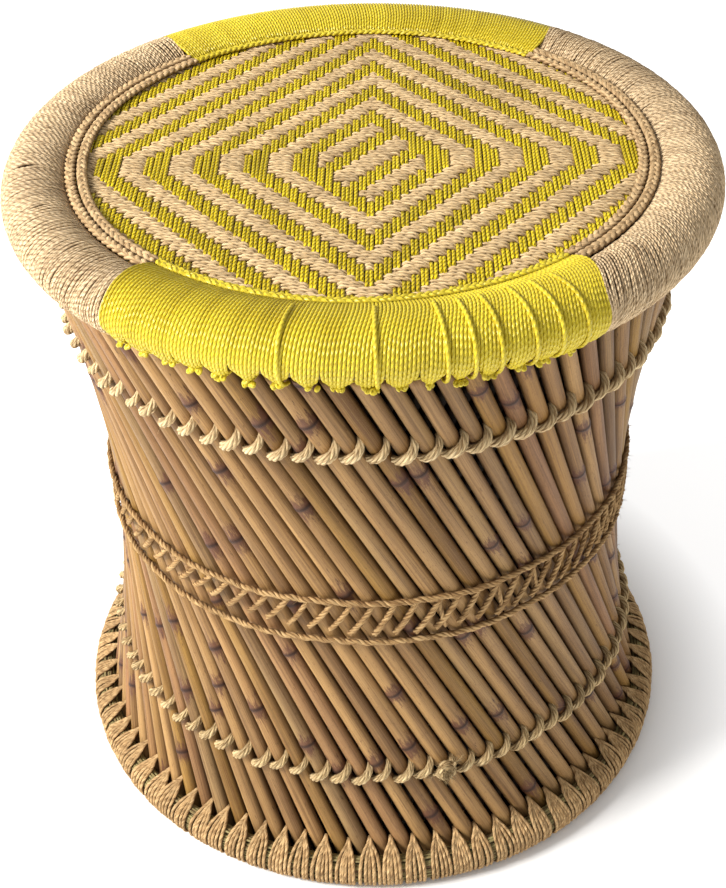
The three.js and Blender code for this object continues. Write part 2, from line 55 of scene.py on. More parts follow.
# Camera, fitted to the photograph's outlines
FOCAL_PIXELS = 1508.3
PHOTO_HEIGHT = 888
SENSOR = 36.0
CAMERA_TARGET = (-3.4, 0.0, 198.5)
CAMERA_DISTANCE = 974.4
CAMERA_ELEVATION = math.radians(38.87)
CAMERA_ROLL = -0.0254

# Light
KEY_PLACE = (-1.8, -0.6, 1.55)  # metres
KEY_SIZE = 0.7  # metres
KEY_POWER = 79
KEY_COLOUR = (1.0, 0.985, 0.96)
KEY_AIM = (0, 0, 0.22)  # metres
SURROUND_LEFT = 0.66
SURROUND_RIGHT = 0.33
FLOOR_HALF = 6.0  # metres

# Rim
RIM_CENTRE_RADIUS = 181.8
RIM_CENTRE_HEIGHT = 401.4
RIM_HALF_WIDTH = 18.2
RIM_HALF_HEIGHT = 16.1
RIM_WRAP = 2.4
YELLOW_CORD = 2.0
JUTE_CORD = 1.7
END_INSET = 0.3  # how many turns of a wrap run on past its end
FADE_TURNS = 8  # how many turns from a wrap's end its cords' leaning takes to build up
JUTE_SLANTS = {"jute_left": 0.0018, "jute_right": 0.0030}  # radians
# Where the rim's colours change, in degrees round the stool, at the rim's outside and inside
CHANGES = ((50.5, 47.5), (130.5, 130.5), (229.8, 227.8), (306.0, 310.5), (410.5, 407.5))
STRETCHES = (
    ("yellow_back", CHANGES[0], CHANGES[1], True),
    ("jute_left", CHANGES[1], CHANGES[2], False),
    ("yellow_front", CHANGES[2], CHANGES[3], True),
    ("jute_right", CHANGES[3], CHANGES[4], False),
)
# Cords that lie proud of the front's yellow wrap, in degrees round the stool
LOOSE_STRANDS = (258.0, 271.4, 280.8, 284.9, 288.5, 293.7, 297.7, 302.0)
# Where a wrap's cords part: degrees round the stool, then a slit's middle and half its length in radians
# round the rim's section
SLITS = {"jute_left": ((201.4, 1.62, 0.36), (186.8, 1.40, 0.42))}
SLIT_OPENING = 0.75  # in cords

# Canes; an axis radius is where a layer's axes pass the waist, and a run is sideways over upwards
CANE_TOP = 385.0
CANE_FOOT = 2.0
CANE_RADIUS = 5.3
CANE_RADII = (4.7, 5.2)
NODE_SPACING = (150, 240)
WAIST_HEIGHT = 199.4
OUTER_AXIS_RADIUS = 156.65
OUTER_RUN = -0.4813
OUTER_BUNDLES = 14
INNER_AXIS_RADIUS = 145.65
INNER_RUN = 0.462
INNER_BUNDLES = 13
CANES_PER_BUNDLE = 6
OUTER_CANES = OUTER_BUNDLES * CANES_PER_BUNDLE
CANE_PITCH = FULL_TURN / OUTER_CANES
HOOP_HALF_THICKNESS = 2.0
HOOP_INSET = 4.6

# Lashings
UPPER_KNOT_HEIGHT = 332.0
LOWER_KNOT_HEIGHT = 78.3
TIED_CANE = 61
UPPER_ROPE_HEIGHT = 216.3
LOWER_ROPE_HEIGHT = 185.9
WAIST_ROPE = 3.8
WAIST_LAY = 10.5
TIE = 3.7
TIE_LAY = 9.5

# Foot ring
FOOT_RADIUS = 193.0
FOOT_HEIGHT = 9.6
FOOT_HALF_WIDTH = 4.3
FOOT_HALF_HEIGHT = 7.6
FOOT_SECTORS = 7
STALKS = 26
STALK_DEPTH = 0.75
FAN_TIP_HEIGHT = 24.5
FAN_STRAND = 1.24

# Seat; under and over say how far below its top the middle of a cord lies
SEAT_TOP = 410.1
CORD_OVER = 1.1
YELLOW_UNDER = 4.4
JUTE_UNDER = 4.0
WEAVE_RADIUS = 152.0
SEAT_RADIUS = 163.0
COLUMN_PITCH = 4.55
ROW_PITCH = 5.57
WEAVE_MIDDLE = (5.2, -12.0)
COLUMN_LEAN = 0.029
YELLOW_HALF_WIDTH = 1.06
JUTE_PLY_RADIUS = 0.84
JUTE_TWIST = (0.62, 0.42)  # how far beside and above its cord's middle a ply goes
JUTE_LAY = 10.5
JUTE_BESIDE = 1.36  # how far from the middle of its row a jute cord lies
JUTE_PLAIT_WIDTH = 6.3
YELLOW_PLAIT_WIDTH = 5.2
PLAIT_GAP = 0.003  # radians

rng = np.random.default_rng(7)


# Paths


def unit(vectors):
    """The vectors, scaled to a length of one."""
    return vectors / (np.linalg.norm(vectors, axis=-1, keepdims=True) + 1e-12)


def smooth_step(share):
    """Eases from 0 to 1 while share goes from 0 to 1."""
    share = np.clip(share, 0, 1)
    return share * share * (3 - 2 * share)


def evenly_round(count):
    """Angles spaced evenly over a full turn."""
    return np.linspace(0, FULL_TURN, count, endpoint=False)


def polar(radius, angle, height):
    """Points at a radius and an angle round the stool, at a height."""
    return np.stack(np.broadcast_arrays(radius * np.cos(angle), radius * np.sin(angle), height), axis=-1)


def radial(angle):
    """The level direction away from the stool's middle."""
    return polar(1.0, angle, 0.0)


def lengths_along(path):
    """How far along the path each of its points is."""
    steps = np.linalg.norm(np.diff(path, axis=0), axis=1)
    return np.concatenate([[0.0], np.cumsum(steps)])


def path_frame(path, outward, closed=False):
    """Normals square to the path, towards outward, and the directions across it."""
    if closed:
        tangent = unit(np.roll(path, -1, axis=0) - np.roll(path, 1, axis=0))
    else:
        tangent = unit(np.gradient(path, axis=0))
    normal = unit(outward - tangent * np.sum(outward * tangent, axis=1, keepdims=True))
    return normal, np.cross(tangent, normal)


def resample(points, count):
    """Points evenly spaced along a path."""
    along = lengths_along(points)
    wanted = np.linspace(0, along[-1], count)
    return np.stack([np.interp(wanted, along, column) for column in points.T], axis=-1)


def resample_loop(points, count):
    """Points evenly spaced along a closed path, without its first point again at the end."""
    return resample(np.concatenate([points, points[:1]]), count + 1)[:-1]


def smoothed(points, rounds=2, closed=False):
    """Rounds a coarse path's corners off by averaging neighbours."""
    for _ in range(rounds):
        if closed:
            points = (np.roll(points, 1, axis=0) + 2 * points + np.roll(points, -1, axis=0)) / 4
        else:
            inner = (points[:-2] + 2 * points[1:-1] + points[2:]) / 4
            points = np.concatenate([points[:1], inner, points[-1:]])
    return points


def ply_paths(path, outward, plies, lay, width, depth, closed=False, phase=0.0, handed=1):
    """The paths of plies that twist round a rope's axis once every lay."""
    normal, across = path_frame(path, np.broadcast_to(outward, path.shape), closed)
    along = lengths_along(path)
    if closed:
        length = along[-1] + np.linalg.norm(path[0] - path[-1])
        lay = length / max(1, round(length / lay))
    made = []
    for ply in range(plies):
        angle = handed * FULL_TURN * (along / lay + ply / plies) + phase
        beside = across * (np.cos(angle) * width)[:, None]
        made.append(path + beside + normal * (np.sin(angle) * depth)[:, None])
    return made


# Mesh building


class Strands:
    """Gathers tubes swept along paths, and turns them into one mesh piece.

    The map Strand holds how far round its tube (0 to 1) and along it (metres) a corner is. The map OFBake
    gives each stretch of cell_rings rings, and each cap, a cell of its own.
    """

    def __init__(self):
        self.points = []
        self.seeds = []
        self.marks = []
        self.quads = []
        self.strand_uvs = []
        self.bake_cells = []
        self.caps = []
        self.count = 0
        self.cells = 0

    def tube(self, path, outward, half_width, half_depth, sides=6, closed=False,
             along_start=0.0, mark=0.0, cell_rings=40, capped=True):
        """Sweeps an oval section along path; outward points away from what the tube lies on."""
        rings = len(path)
        normal, across = path_frame(path, np.broadcast_to(outward, path.shape), closed)
        half_width = np.broadcast_to(half_width, rings)[:, None, None]
        half_depth = np.broadcast_to(half_depth, rings)[:, None, None]
        turn = np.arange(sides) / sides
        angle = (FULL_TURN * turn - math.pi / 2)[:, None]
        points = (path[:, None, :] + across[:, None, :] * np.cos(angle) * half_width
                  + normal[:, None, :] * np.sin(angle) * half_depth)
        self.points.append(points.reshape(-1, 3))
        self.seeds.append(np.full(rings * sides, rng.random()))
        self.marks.append(np.repeat(np.broadcast_to(mark, rings), sides))
        self.add_quads(rings, sides, closed, along_start + lengths_along(path), cell_rings)
        if capped and not closed:
            self.add_caps(rings, sides, along_start, along_start + lengths_along(path)[-1])
        self.count += rings * sides

    def add_quads(self, rings, sides, closed, along, cell_rings):
        """The faces round a tube, with where each corner lies in both maps."""
        near = np.arange(rings if closed else rings - 1)
        far = (near + 1) % rings
        step = (along[-1] - along[0]) / (rings - 1)
        far_along = np.where(far == 0, along[near] + step, along[far])
        side = np.arange(sides)
        after = (side + 1) % sides
        corners = ((near, side), (near, after), (far, after), (far, side))
        quads = np.stack([self.count + ring[:, None] * sides + place for ring, place in corners], axis=-1)
        low, high = side / sides, (side + 1) / sides
        across = np.stack([low, high, high, low], axis=-1)
        along = np.stack([along[near], along[near], far_along, far_along], axis=-1) * METRES
        uvs = np.stack(np.broadcast_arrays(across, along[:, None, :]), axis=-1)
        cell = self.cells + near // cell_rings
        low = near % cell_rings / cell_rings
        high = low + 1 / cell_rings
        place = np.stack([low, low, high, high], axis=-1)
        cells = np.stack(np.broadcast_arrays(cell[:, None, None], across, place[:, None, :]), axis=-1)
        self.quads.append(quads.reshape(-1, 4))
        self.strand_uvs.append(uvs.reshape(-1, 2))
        self.bake_cells.append(cells.reshape(-1, 3))
        self.cells += (len(near) - 1) // cell_rings + 1

    def add_caps(self, rings, sides, first_along, last_along):
        """The tube's two ends, which come after all the quads in the mesh."""
        side = np.arange(sides)
        self.caps.append((self.count + side[::-1], first_along, self.cells))
        self.caps.append((self.count + (rings - 1) * sides + side, last_along, self.cells + 1))
        self.cells += 2

    def piece(self, name, material, node, slot):
        """Makes the mesh object, which rides on the one body and replaces its CAD node."""
        quads = np.concatenate(self.quads)
        corners = [quads.reshape(-1)]
        sizes = [np.full(len(quads), 4)]
        for ring, along, cell in self.caps:
            sides = len(ring)
            turn = np.arange(sides) / sides
            corners.append(ring)
            sizes.append([sides])
            self.strand_uvs.append(np.stack([turn, np.full(sides, along * METRES)], axis=-1))
            self.bake_cells.append(np.stack([np.full(sides, cell), 0.5 + 0.4 * np.cos(FULL_TURN * turn),
                                             0.5 + 0.4 * np.sin(FULL_TURN * turn)], axis=-1))
        corners = np.concatenate(corners)
        sizes = np.concatenate(sizes)
        mesh = bpy.data.meshes.new(name)
        mesh.vertices.add(self.count)
        mesh.vertices.foreach_set("co", (np.concatenate(self.points) * METRES).astype(np.float32).ravel())
        mesh.loops.add(len(corners))
        mesh.loops.foreach_set("vertex_index", corners.astype(np.int32))
        mesh.polygons.add(len(sizes))
        mesh.polygons.foreach_set("loop_start", (np.cumsum(sizes) - sizes).astype(np.int32))
        mesh.update(calc_edges=True)
        mesh.shade_smooth()
        bake_uvs = bake_places(np.concatenate(self.bake_cells), math.ceil(math.sqrt(self.cells)))
        for layer_name, values in (("Strand", np.concatenate(self.strand_uvs)), ("OFBake", bake_uvs)):
            layer = mesh.uv_layers.new(name=layer_name)
            layer.data.foreach_set("uv", values.astype(np.float32).ravel())
        for attribute_name, values in (("seed", self.seeds), ("mark", self.marks)):
            attribute = mesh.attributes.new(attribute_name, "FLOAT", "POINT")
            attribute.data.foreach_set("value", np.concatenate(values).astype(np.float32))
        mesh.materials.append(material)
        made = add_object(name, mesh)
        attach(made, "root")
        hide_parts(node)


def add_object(name, data):
    """A new object in the scene."""
    made = bpy.data.objects.new(name, data)
    bpy.context.scene.collection.objects.link(made)
    return made


def bake_places(cells, columns):
    """Where each corner lies in the bake map: a grid of cells, each with a margin."""
    margin = 0.06
    column = cells[:, 0] % columns
    row = cells[:, 0] // columns
    inner = margin + (1 - 2 * margin) * cells[:, 1:]
    return np.stack([(column + inner[:, 0]) / columns, (row + inner[:, 1]) / columns], axis=-1)


def rope(strands, path, outward, plies, lay, radius, closed=False, taper=1.0, handed=1, snug=1.24):
    """A twisted rope; taper thins it, and snug says how far its plies press into each other."""
    ply_radius = radius / (1 + 1 / math.sin(math.pi / plies)) * snug
    offset = (radius - ply_radius) * taper
    paths = ply_paths(path, outward, plies, lay, offset, offset, closed, rng.random() * FULL_TURN, handed)
    for ply_path in paths:
        strands.tube(ply_path, outward, ply_radius * taper * 1.08, ply_radius * taper, closed=closed)


def hair(strands, start, direction, length, thickness=0.16):
    """A loose fibre that leaves a rope, thins out and bends a little."""
    share = np.linspace(0, 1, 5)[:, None]
    bend = rng.normal(0, 0.35, 3)
    path = start + length * (unit(direction) * share + bend * share ** 2 * 0.5)
    half = thickness * (1 - 0.7 * share[:, 0])
    strands.tube(path, (0.3, 0.2, 1.0), half, half, 3)


# Materials


class Nodes:
    """A short way to write a node tree."""

    def __init__(self, tree):
        self.tree = tree

    def feed(self, socket, value):
        if isinstance(value, bpy.types.NodeSocket):
            self.tree.links.new(value, socket)
        else:
            socket.default_value = value

    def node(self, kind, inputs=(), **settings):
        made = self.tree.nodes.new(kind)
        for key, value in settings.items():
            setattr(made, key, value)
        for key, value in dict(inputs).items():
            self.feed(made.inputs[key], value)
        return made

    def math(self, operation, first, second=0.0):
        return self.node("ShaderNodeMath", {0: first, 1: second}, operation=operation).outputs[0]

    def times(self, first, second, added=0.0):
        """first times second, plus added."""
        inputs = {0: first, 1: second, 2: added}
        return self.node("ShaderNodeMath", inputs, operation="MULTIPLY_ADD").outputs[0]

    def noise(self, place, scale=1.0, detail=2.0, roughness=0.5):
        """Noise at a place, which is one output or three."""
        if isinstance(place, tuple):
            place = self.node("ShaderNodeCombineXYZ", enumerate(place)).outputs[0]
        inputs = {"Vector": place, "Scale": scale, "Detail": detail, "Roughness": roughness}
        return self.node("ShaderNodeTexNoise", inputs).outputs["Fac"]

    def span(self, value, low, high, to_low=0.0, to_high=1.0):
        """Takes the value's stretch from low to high onto the stretch from to_low to to_high."""
        inputs = {"Value": value, "From Min": low, "From Max": high, "To Min": to_low, "To Max": to_high}
        return self.node("ShaderNodeMapRange", inputs, clamp=True).outputs["Result"]

    def attribute(self, name):
        return self.node("ShaderNodeAttribute", attribute_name=name).outputs["Fac"]

    def position(self):
        return self.node("ShaderNodeTexCoord").outputs["Object"]

    def strand(self):
        """How far round and along its strand a point is, and the strand's own random number."""
        place = self.node("ShaderNodeUVMap", uv_map="Strand").outputs[0]
        place = self.node("ShaderNodeSeparateXYZ", {0: place})
        return place.outputs[0], place.outputs[1], self.attribute("seed")

    def grooves(self, slant, plies):
        """From 0 in the grooves between twisted plies to 1 on top of them."""
        return self.math("ABSOLUTE", self.math("SINE", self.times(slant, math.pi * plies)))

    def stained(self, base, stains):
        """Lays colours over base; as a stain's value goes from low to high, it fades in up to its share."""
        for value, low, high, share, colour in stains:
            inputs = {0: self.span(value, low, high, 0.0, share), 6: base, 7: colour}
            base = self.node("ShaderNodeMix", inputs, data_type="RGBA").outputs[2]
        return base

    def painted_side_shade(self, around, share, dark):
        """Painted shade at a strand's sides and back, where it meets its neighbours."""
        from_top = self.math("ABSOLUTE", self.math("SUBTRACT", around, 0.5))
        return from_top, 0.12, 0.28, share, dark


class Material(Nodes):
    """A material with its one surface shader."""

    def __init__(self, name):
        self.material = bpy.data.materials.new(name)
        self.material.use_nodes = True
        super().__init__(self.material.node_tree)

    def set(self, **values):
        surface = self.tree.nodes["Principled BSDF"]
        for key, value in values.items():
            self.feed(surface.inputs[key.replace("_", " ")], value)
        return self.material

    def finish(self, base, roughness, specular, height, depth):
        """The finished material, with a bump as deep as depth, in metres."""
        bump = self.node("ShaderNodeBump", {"Height": height, "Distance": depth, "Strength": 1.0})
        return self.set(Base_Color=base, Roughness=roughness, Specular_IOR_Level=specular,
                        Normal=bump.outputs[0])


def tone(colour, shade=1.0):
    """A colour as shaders take it, from one as it looks on a screen, from 0 to 255; shade darkens it."""
    shares = [channel / 255 for channel in colour]
    linear = [share / 12.92 if share <= 0.04045 else ((share + 0.055) / 1.055) ** 2.4 for share in shares]
    return (*(shade * channel for channel in linear), 1.0)


def fibre_cord(name, *tones, lay=0.02, plies=0, fibres=9.0, stretch=60.0, contrast=0.5, painted_side_shade=0.6,
               bump=0.0003, groove_shade_share=0.5):
    """A matt cord of natural fibres that run at the lay's slant, with optional ply grooves; painted shade
    darkens the grooves and the cord's sides.
    """
    light, middle, dark = map(tone, tones)
    cord = Material(name)
    around, along, seed = cord.strand()
    slant = cord.times(along, 1 / lay, around)
    offset = cord.times(seed, 41.0)
    fine = cord.noise((cord.times(slant, fibres), cord.times(along, stretch), offset), 1.0, 4.0, 0.75)
    broad = cord.noise((cord.times(slant, fibres / 3), cord.times(along, stretch / 2), offset))
    patch = cord.noise(cord.position(), 26.0, 3.0, 0.6)
    stains = [
        (fine, 0.45, 0.6, 1.0, light),
        (fine, 0.49, 0.36, contrast, dark),
        (broad, 0.47, 0.32, contrast * 0.7, dark),
        (cord.times(seed, 0.4, patch), 0.55, 1.0, 0.35, dark),
    ]
    height = fine
    if plies:
        groove = cord.grooves(slant, plies)
        # Painted shade in the grooves between the plies
        stains.append((groove, 0.5, 0.0, groove_shade_share, dark))
        height = cord.times(groove, 1.5, fine)
    # Painted shade at the cord's sides, where it meets its neighbours
    stains.append(cord.painted_side_shade(around, painted_side_shade, dark))
    return cord.finish(cord.stained(middle, stains), 0.85, 0.15, height, bump)


def nylon_cord(name, *tones, groove_shade_share, painted_side_shade, bump, lay=0.0105):
    """A glossy three-ply cord whose plies show as slanting strokes, with painted shade in the grooves between
    them and at the cord's sides.
    """
    light, middle, dark = map(tone, tones)
    cord = Material(name)
    around, along, seed = cord.strand()
    slant = cord.times(along, 1 / lay, around)
    groove = cord.grooves(slant, 3)
    place = (cord.times(slant, 12.0), cord.times(along, 200.0), cord.times(seed, 37.0))
    fine = cord.noise(place, roughness=0.6)
    patch = cord.noise(cord.position(), 18.0)
    base = cord.stained(middle, (
        (fine, 0.4, 0.62, 1.0, light),
        (cord.times(seed, 0.3, patch), 0.5, 1.0, 0.45, dark),
        # Painted shade in the grooves between the plies
        (groove, 0.6, 0.0, groove_shade_share, dark),
        # Painted shade at the cord's sides, where it meets its neighbours
        cord.painted_side_shade(around, painted_side_shade, dark),
    ))
    roughness = cord.span(groove, 0.0, 1.0, 0.5, 0.3)
    return cord.finish(base, roughness, 0.35, cord.times(fine, 0.15, groove), bump)


def cane_material(name, *marks, shade=1.0):
    """Reed: long grain, a tone of its own for each cane, smudged rings at its nodes, and painted shade on its
    flanks.
    """
    light, ochre, brown, grey, rosy = (tone(colour, shade) for colour in CANE_TONES)
    flank_shade, node_colour, ring_colour = map(tone, marks)
    reed = Material(name)
    around, along, seed = reed.strand()
    offset = reed.times(seed, 53.0)
    angle = reed.times(around, FULL_TURN)
    wide = reed.math("SINE", angle)
    deep = reed.math("COSINE", angle)

    def along_cane(across_scale, along_scale, detail, roughness):
        place = (reed.times(wide, across_scale, offset), reed.times(along, along_scale),
                 reed.times(deep, across_scale))
        return reed.noise(place, 1.0, detail, roughness)

    def of_seed(factor):
        return reed.math("FRACT", reed.times(seed, factor))

    grain = along_cane(14.0, 14.0, 5.0, 0.8)
    specks = along_cane(7.0, 220.0, 3.0, 0.7)
    streak = along_cane(2.0, 6.0, 3.0, 0.6)
    drift = along_cane(0.5, 9.0, 2.0, 0.5)
    mottle = along_cane(2.6, 90.0, 4.0, 0.75)
    near = reed.attribute("mark")
    ragged = reed.math("ADD", near, reed.span(mottle, 0.3, 0.7, -0.42, 0.42))
    base = reed.stained(light, (
        (of_seed(7.31), 0.45, 0.8, 1.0, ochre),
        (of_seed(3.77), 0.6, 1.0, 0.8, grey),
        (of_seed(11.93), 0.6, 1.0, 0.8, rosy),
        (reed.times(of_seed(5.11), 0.3, drift), 0.5, 0.85, 0.7, brown),
        (streak, 0.5, 0.72, 0.6, brown),
        (grain, 0.5, 0.64, 0.45, light),
        (grain, 0.49, 0.36, 0.65, brown),
        (specks, 0.6, 0.68, 0.5, brown),
        # Painted shade on the cane's flanks
        reed.painted_side_shade(around, 0.65, flank_shade),
        (ragged, 0.45, 0.75, 0.85, node_colour),
        (near, 0.84, 0.96, 0.85, ring_colour),
        (mottle, 0.64, 0.72, 0.7, ring_colour),
    ))
    roughness = reed.span(grain, 0.3, 0.7, 0.42, 0.62)
    return reed.finish(base, roughness, 0.3, reed.times(mottle, 0.4, grain), 0.0003)


def floor_material():
    """A plain pale studio floor, lit from within a little outside the stool's foot, as on a light table."""
    floor = Material("pale_floor")
    patch = floor.noise(floor.position(), 3.0)
    base = floor.stained((0.93, 0.93, 0.925, 1), [(patch, 0.3, 0.7, 0.3, (0.9, 0.9, 0.895, 1))])
    distance = floor.node("ShaderNodeVectorMath", {0: floor.position()}, operation="LENGTH")
    glow = floor.span(distance.outputs["Value"], 0.19, 0.27, 0.0, 0.6)
    return floor.set(Base_Color=base, Roughness=0.9, Specular_IOR_Level=0.1, Emission_Color=(1, 1, 1, 1),
                     Emission_Strength=glow)


# Light, ochre, brown, grey and rosy
CANE_TONES = ((180, 140, 87), (158, 120, 54), (88, 54, 24), (150, 123, 87), (170, 120, 80))
# Each cane material has the colours of the painted shade on its flanks, of the smudges at its nodes
# and of its rings; each cord has a light, a middle and a dark tone
CANE = cane_material("cane", (48, 25, 10), (92, 54, 38), (46, 25, 16))
# The inner canes and the hoop: the cane tones darkened to 0.11, with near-black flanks, smudges and rings, as
# painted shade
SHADED_INNER_CANE = cane_material("inner_cane", (20, 11, 5), (50, 30, 22), (30, 18, 12), shade=0.11)
JUTE_RIM = fibre_cord("jute_rim_cord", (250, 223, 182), (232, 201, 156), (92, 60, 32), lay=0.0065, plies=2,
                      fibres=5.0, contrast=0.45, painted_side_shade=0.55, groove_shade_share=0.4)
JUTE_PLAIT = fibre_cord("jute_plait_cord", (232, 200, 152), (206, 172, 126), (84, 54, 26), fibres=6.0,
                        stretch=100.0, painted_side_shade=0.75)
JUTE_SEAT = fibre_cord("jute_seat_cord", (242, 213, 165), (228, 195, 144), (84, 54, 26), fibres=5.0,
                       stretch=120.0, contrast=0.38, painted_side_shade=0.64)
JUTE_FOOT = fibre_cord("jute_foot_cord", (218, 184, 134), (190, 153, 106), (78, 50, 26), lay=0.011, plies=2,
                       fibres=6.0, stretch=100.0, contrast=0.35, painted_side_shade=0.9, groove_shade_share=0.25)
YELLOW_RIM = nylon_cord("yellow_rim_cord", (228, 208, 68), (218, 196, 42), (150, 122, 4), groove_shade_share=0.29,
                        painted_side_shade=0.22, bump=0.00024)
YELLOW_SEAT = nylon_cord("yellow_seat_cord", (232, 207, 46), (222, 195, 20), (86, 60, 0), groove_shade_share=0.42,
                         painted_side_shade=0.4, bump=0.0005)
STRAW = fibre_cord("straw", (172, 162, 112), (140, 126, 80), (96, 64, 54), lay=0.3, fibres=3.0,
                   stretch=12.0, contrast=0.6)
KNOT, LOWER_KNOT = [
    fibre_cord(*looks, lay=0.03, stretch=90.0, contrast=0.8, bump=0.0006) for looks in (
        ("knot_cord", (246, 223, 176), (226, 197, 148), (104, 73, 40)),
        ("lower_knot_cord", (236, 210, 162), (206, 176, 125), (84, 58, 30)),
    )]
WAIST = fibre_cord("waist_rope", (206, 172, 122), (172, 135, 88), (76, 48, 26), lay=0.04,
                   fibres=7.0, stretch=80.0, contrast=0.6, bump=0.0004)


# Canes


def cane_axis(axis_radius, run, angle, height):
    """Points on a straight cane's axis; angle is where it crosses the waist."""
    sideways = run * (height - WAIST_HEIGHT)
    return polar(axis_radius, angle, height) + radial(angle + math.pi / 2) * np.expand_dims(sideways, -1)


def cane_turn(axis_radius, run, height):
    """The angle by which a cane has turned round the stool between the waist and a height."""
    return np.arctan2(run * (height - WAIST_HEIGHT), axis_radius)


def cane_surface_radius(height):
    """How far out the outer canes reach at a height."""
    return np.hypot(OUTER_AXIS_RADIUS, OUTER_RUN * (height - WAIST_HEIGHT)) + CANE_RADIUS


def cane_heights(nodes, ring_step):
    """Where a cane has rings: evenly spaced, and closer together at its nodes."""
    near_node = (-14, -7, -3.5, -1.6, -0.7, 0, 0.7, 1.6, 3.5, 7, 14)
    even = np.arange(CANE_FOOT, CANE_TOP, ring_step)
    heights = np.unique(np.concatenate([even, [CANE_TOP], *[nodes + offset for offset in near_node]]))
    heights = heights[(heights >= CANE_FOOT) & (heights <= CANE_TOP)]
    heights = heights[np.concatenate([[True], np.diff(heights) > 0.45])]
    heights[-1] = CANE_TOP
    return heights


def cane(strands, axis_radius, run, angle, sides, ring_step, bow):
    """One cane, with its slight bow, its nodes and its own thickness."""
    spacing = rng.uniform(*NODE_SPACING)
    first = CANE_FOOT + 12
    nodes = np.arange(rng.uniform(first, first + spacing), CANE_TOP, spacing)
    heights = cane_heights(nodes, ring_step)
    share = (heights - CANE_FOOT) / (CANE_TOP - CANE_FOOT)
    outward = radial(angle + cane_turn(axis_radius, run, heights))
    bend = bow * rng.uniform(-1, 1) * np.sin(math.pi * share * rng.uniform(0.9, 2.1) + rng.uniform(0, 3))
    path = cane_axis(axis_radius, run, angle, heights) + outward * bend[:, None]
    distance = np.abs(heights[:, None] - nodes).min(axis=1)
    radius = rng.uniform(*CANE_RADII) * (1 + 0.012 * np.sin(share * 9 + rng.uniform(0, 6)))
    radius = radius + 0.4 * np.exp(-(distance / 1.2) ** 2) + 0.16 * np.exp(-(distance / 6.0) ** 2)
    mark = np.exp(-distance / rng.uniform(7, 12))
    strands.tube(path, outward, radius, radius, sides, mark=mark, cell_rings=64)


def cane_layer(slot, label, material, axis_radius, run, bundles, sides, ring_step, bow):
    """Every cane of a layer, a piece for each bundle of six."""
    total = bundles * CANES_PER_BUNDLE
    for bundle in range(bundles):
        strands = Strands()
        for place in range(CANES_PER_BUNDLE):
            number = bundle * CANES_PER_BUNDLE + place - (CANES_PER_BUNDLE - 1) / 2
            cane(strands, axis_radius, run, number * FULL_TURN / total, sides, ring_step, bow)
        strands.piece(f"{label}_reeds_{bundle + 1:02d}", material, f"{label}_canes_{bundle + 1:02d}", slot)


def top_hoop():
    """The split cane bent inside the canes' tops."""
    strands = Strands()
    low, high = (np.array(corner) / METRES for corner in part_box("top_hoop"))
    angle = evenly_round(120)
    path = polar(high[0] - HOOP_INSET, angle, (low[2] + high[2]) / 2)
    strands.tube(path, radial(angle), (high[2] - low[2]) / 2, HOOP_HALF_THICKNESS, 12, closed=True)
    strands.piece("split_cane_hoop", SHADED_INNER_CANE, "top_hoop", "inner_cane")


# Rim


def rim_oval(half_width, angle):
    """Points (out, up) on an oval as high as the rim."""
    return np.stack([half_width * np.cos(angle), RIM_HALF_HEIGHT * np.sin(angle)], axis=-1)


def rim_section(is_yellow, count):
    """The rim's outline as even points (out, up): from underneath, up outside, over, and in to the seat.

    The cords slope down to the plait at the seat's edge, so the inner side's top is drawn out towards it.
    """
    tuck = 1.2
    lip = SEAT_TOP + (0.9 if is_yellow else -0.6) - RIM_CENTRE_HEIGHT
    plait_width = YELLOW_PLAIT_WIDTH if is_yellow else 2 * JUTE_PLAIT_WIDTH
    inner_edge = WEAVE_RADIUS + plait_width - tuck - RIM_CENTRE_RADIUS
    drawn_out = -inner_edge / math.sqrt(1 - (lip / RIM_HALF_HEIGHT) ** 2)
    outline = np.concatenate([
        rim_oval(RIM_HALF_WIDTH, np.linspace(-math.pi / 2, math.pi / 2, 80)),
        rim_oval(drawn_out, np.linspace(math.pi / 2, math.pi - math.asin(lip / RIM_HALF_HEIGHT), 40)[1:]),
        [[inner_edge + tuck, lip - tuck], [-RIM_HALF_WIDTH + 0.5, lip - 2.6]],
        rim_oval(RIM_HALF_WIDTH, np.linspace(math.pi + 0.1, 1.5 * math.pi, 50)[:-1]),
    ])
    return resample_loop(smoothed(resample_loop(outline, 360), 6, closed=True), count)


def gap_near(angle):
    """The nearest gap between the outer canes' tops, as an angle round the stool."""
    first = cane_turn(OUTER_AXIS_RADIUS, OUTER_RUN, CANE_TOP)
    return first + np.round((angle - first) / CANE_PITCH) * CANE_PITCH


def yellow_lay(angle, out, section, slant, lift):
    """How far each point is moved round, sunk, dropped and lifted: bunched between the canes' tops."""
    gap = gap_near(angle)
    offset = (angle - gap) / CANE_PITCH
    low = np.clip((-section - 0.05) / 0.95, 0, 1) * (out > -4)
    loosened = 0.8 + 0.4 * np.sin(gap * 13.0)
    edge = (2 * np.abs(offset)) ** 2.2
    shift = slant * 0.0018 * low - offset * CANE_PITCH * 0.62 * loosened * low ** 1.5
    sink = 3.4 * edge * low ** 1.3 * loosened
    drop = (2.2 * (1 - edge) + 0.9 * np.sin(gap * 29.0)) * low ** 2
    return shift, sink, drop, lift * (0.12 + 0.4 * low)


def jute_lay(angle, out, section, slant, lift):
    """The same for jute, whose cords bunch less and wander over the whole rim."""
    offset = (angle - gap_near(angle)) / CANE_PITCH
    low = np.clip((-section - 0.2) / 1.2, 0, 1) * (out > -4)
    edge = (2 * np.abs(offset)) ** 2
    shift = slant * np.cos(section - 0.5) - offset * CANE_PITCH * 0.3 * low ** 2
    return shift, 0.9 * edge * low ** 2, 0.5 * low ** 2, lift * 0.42


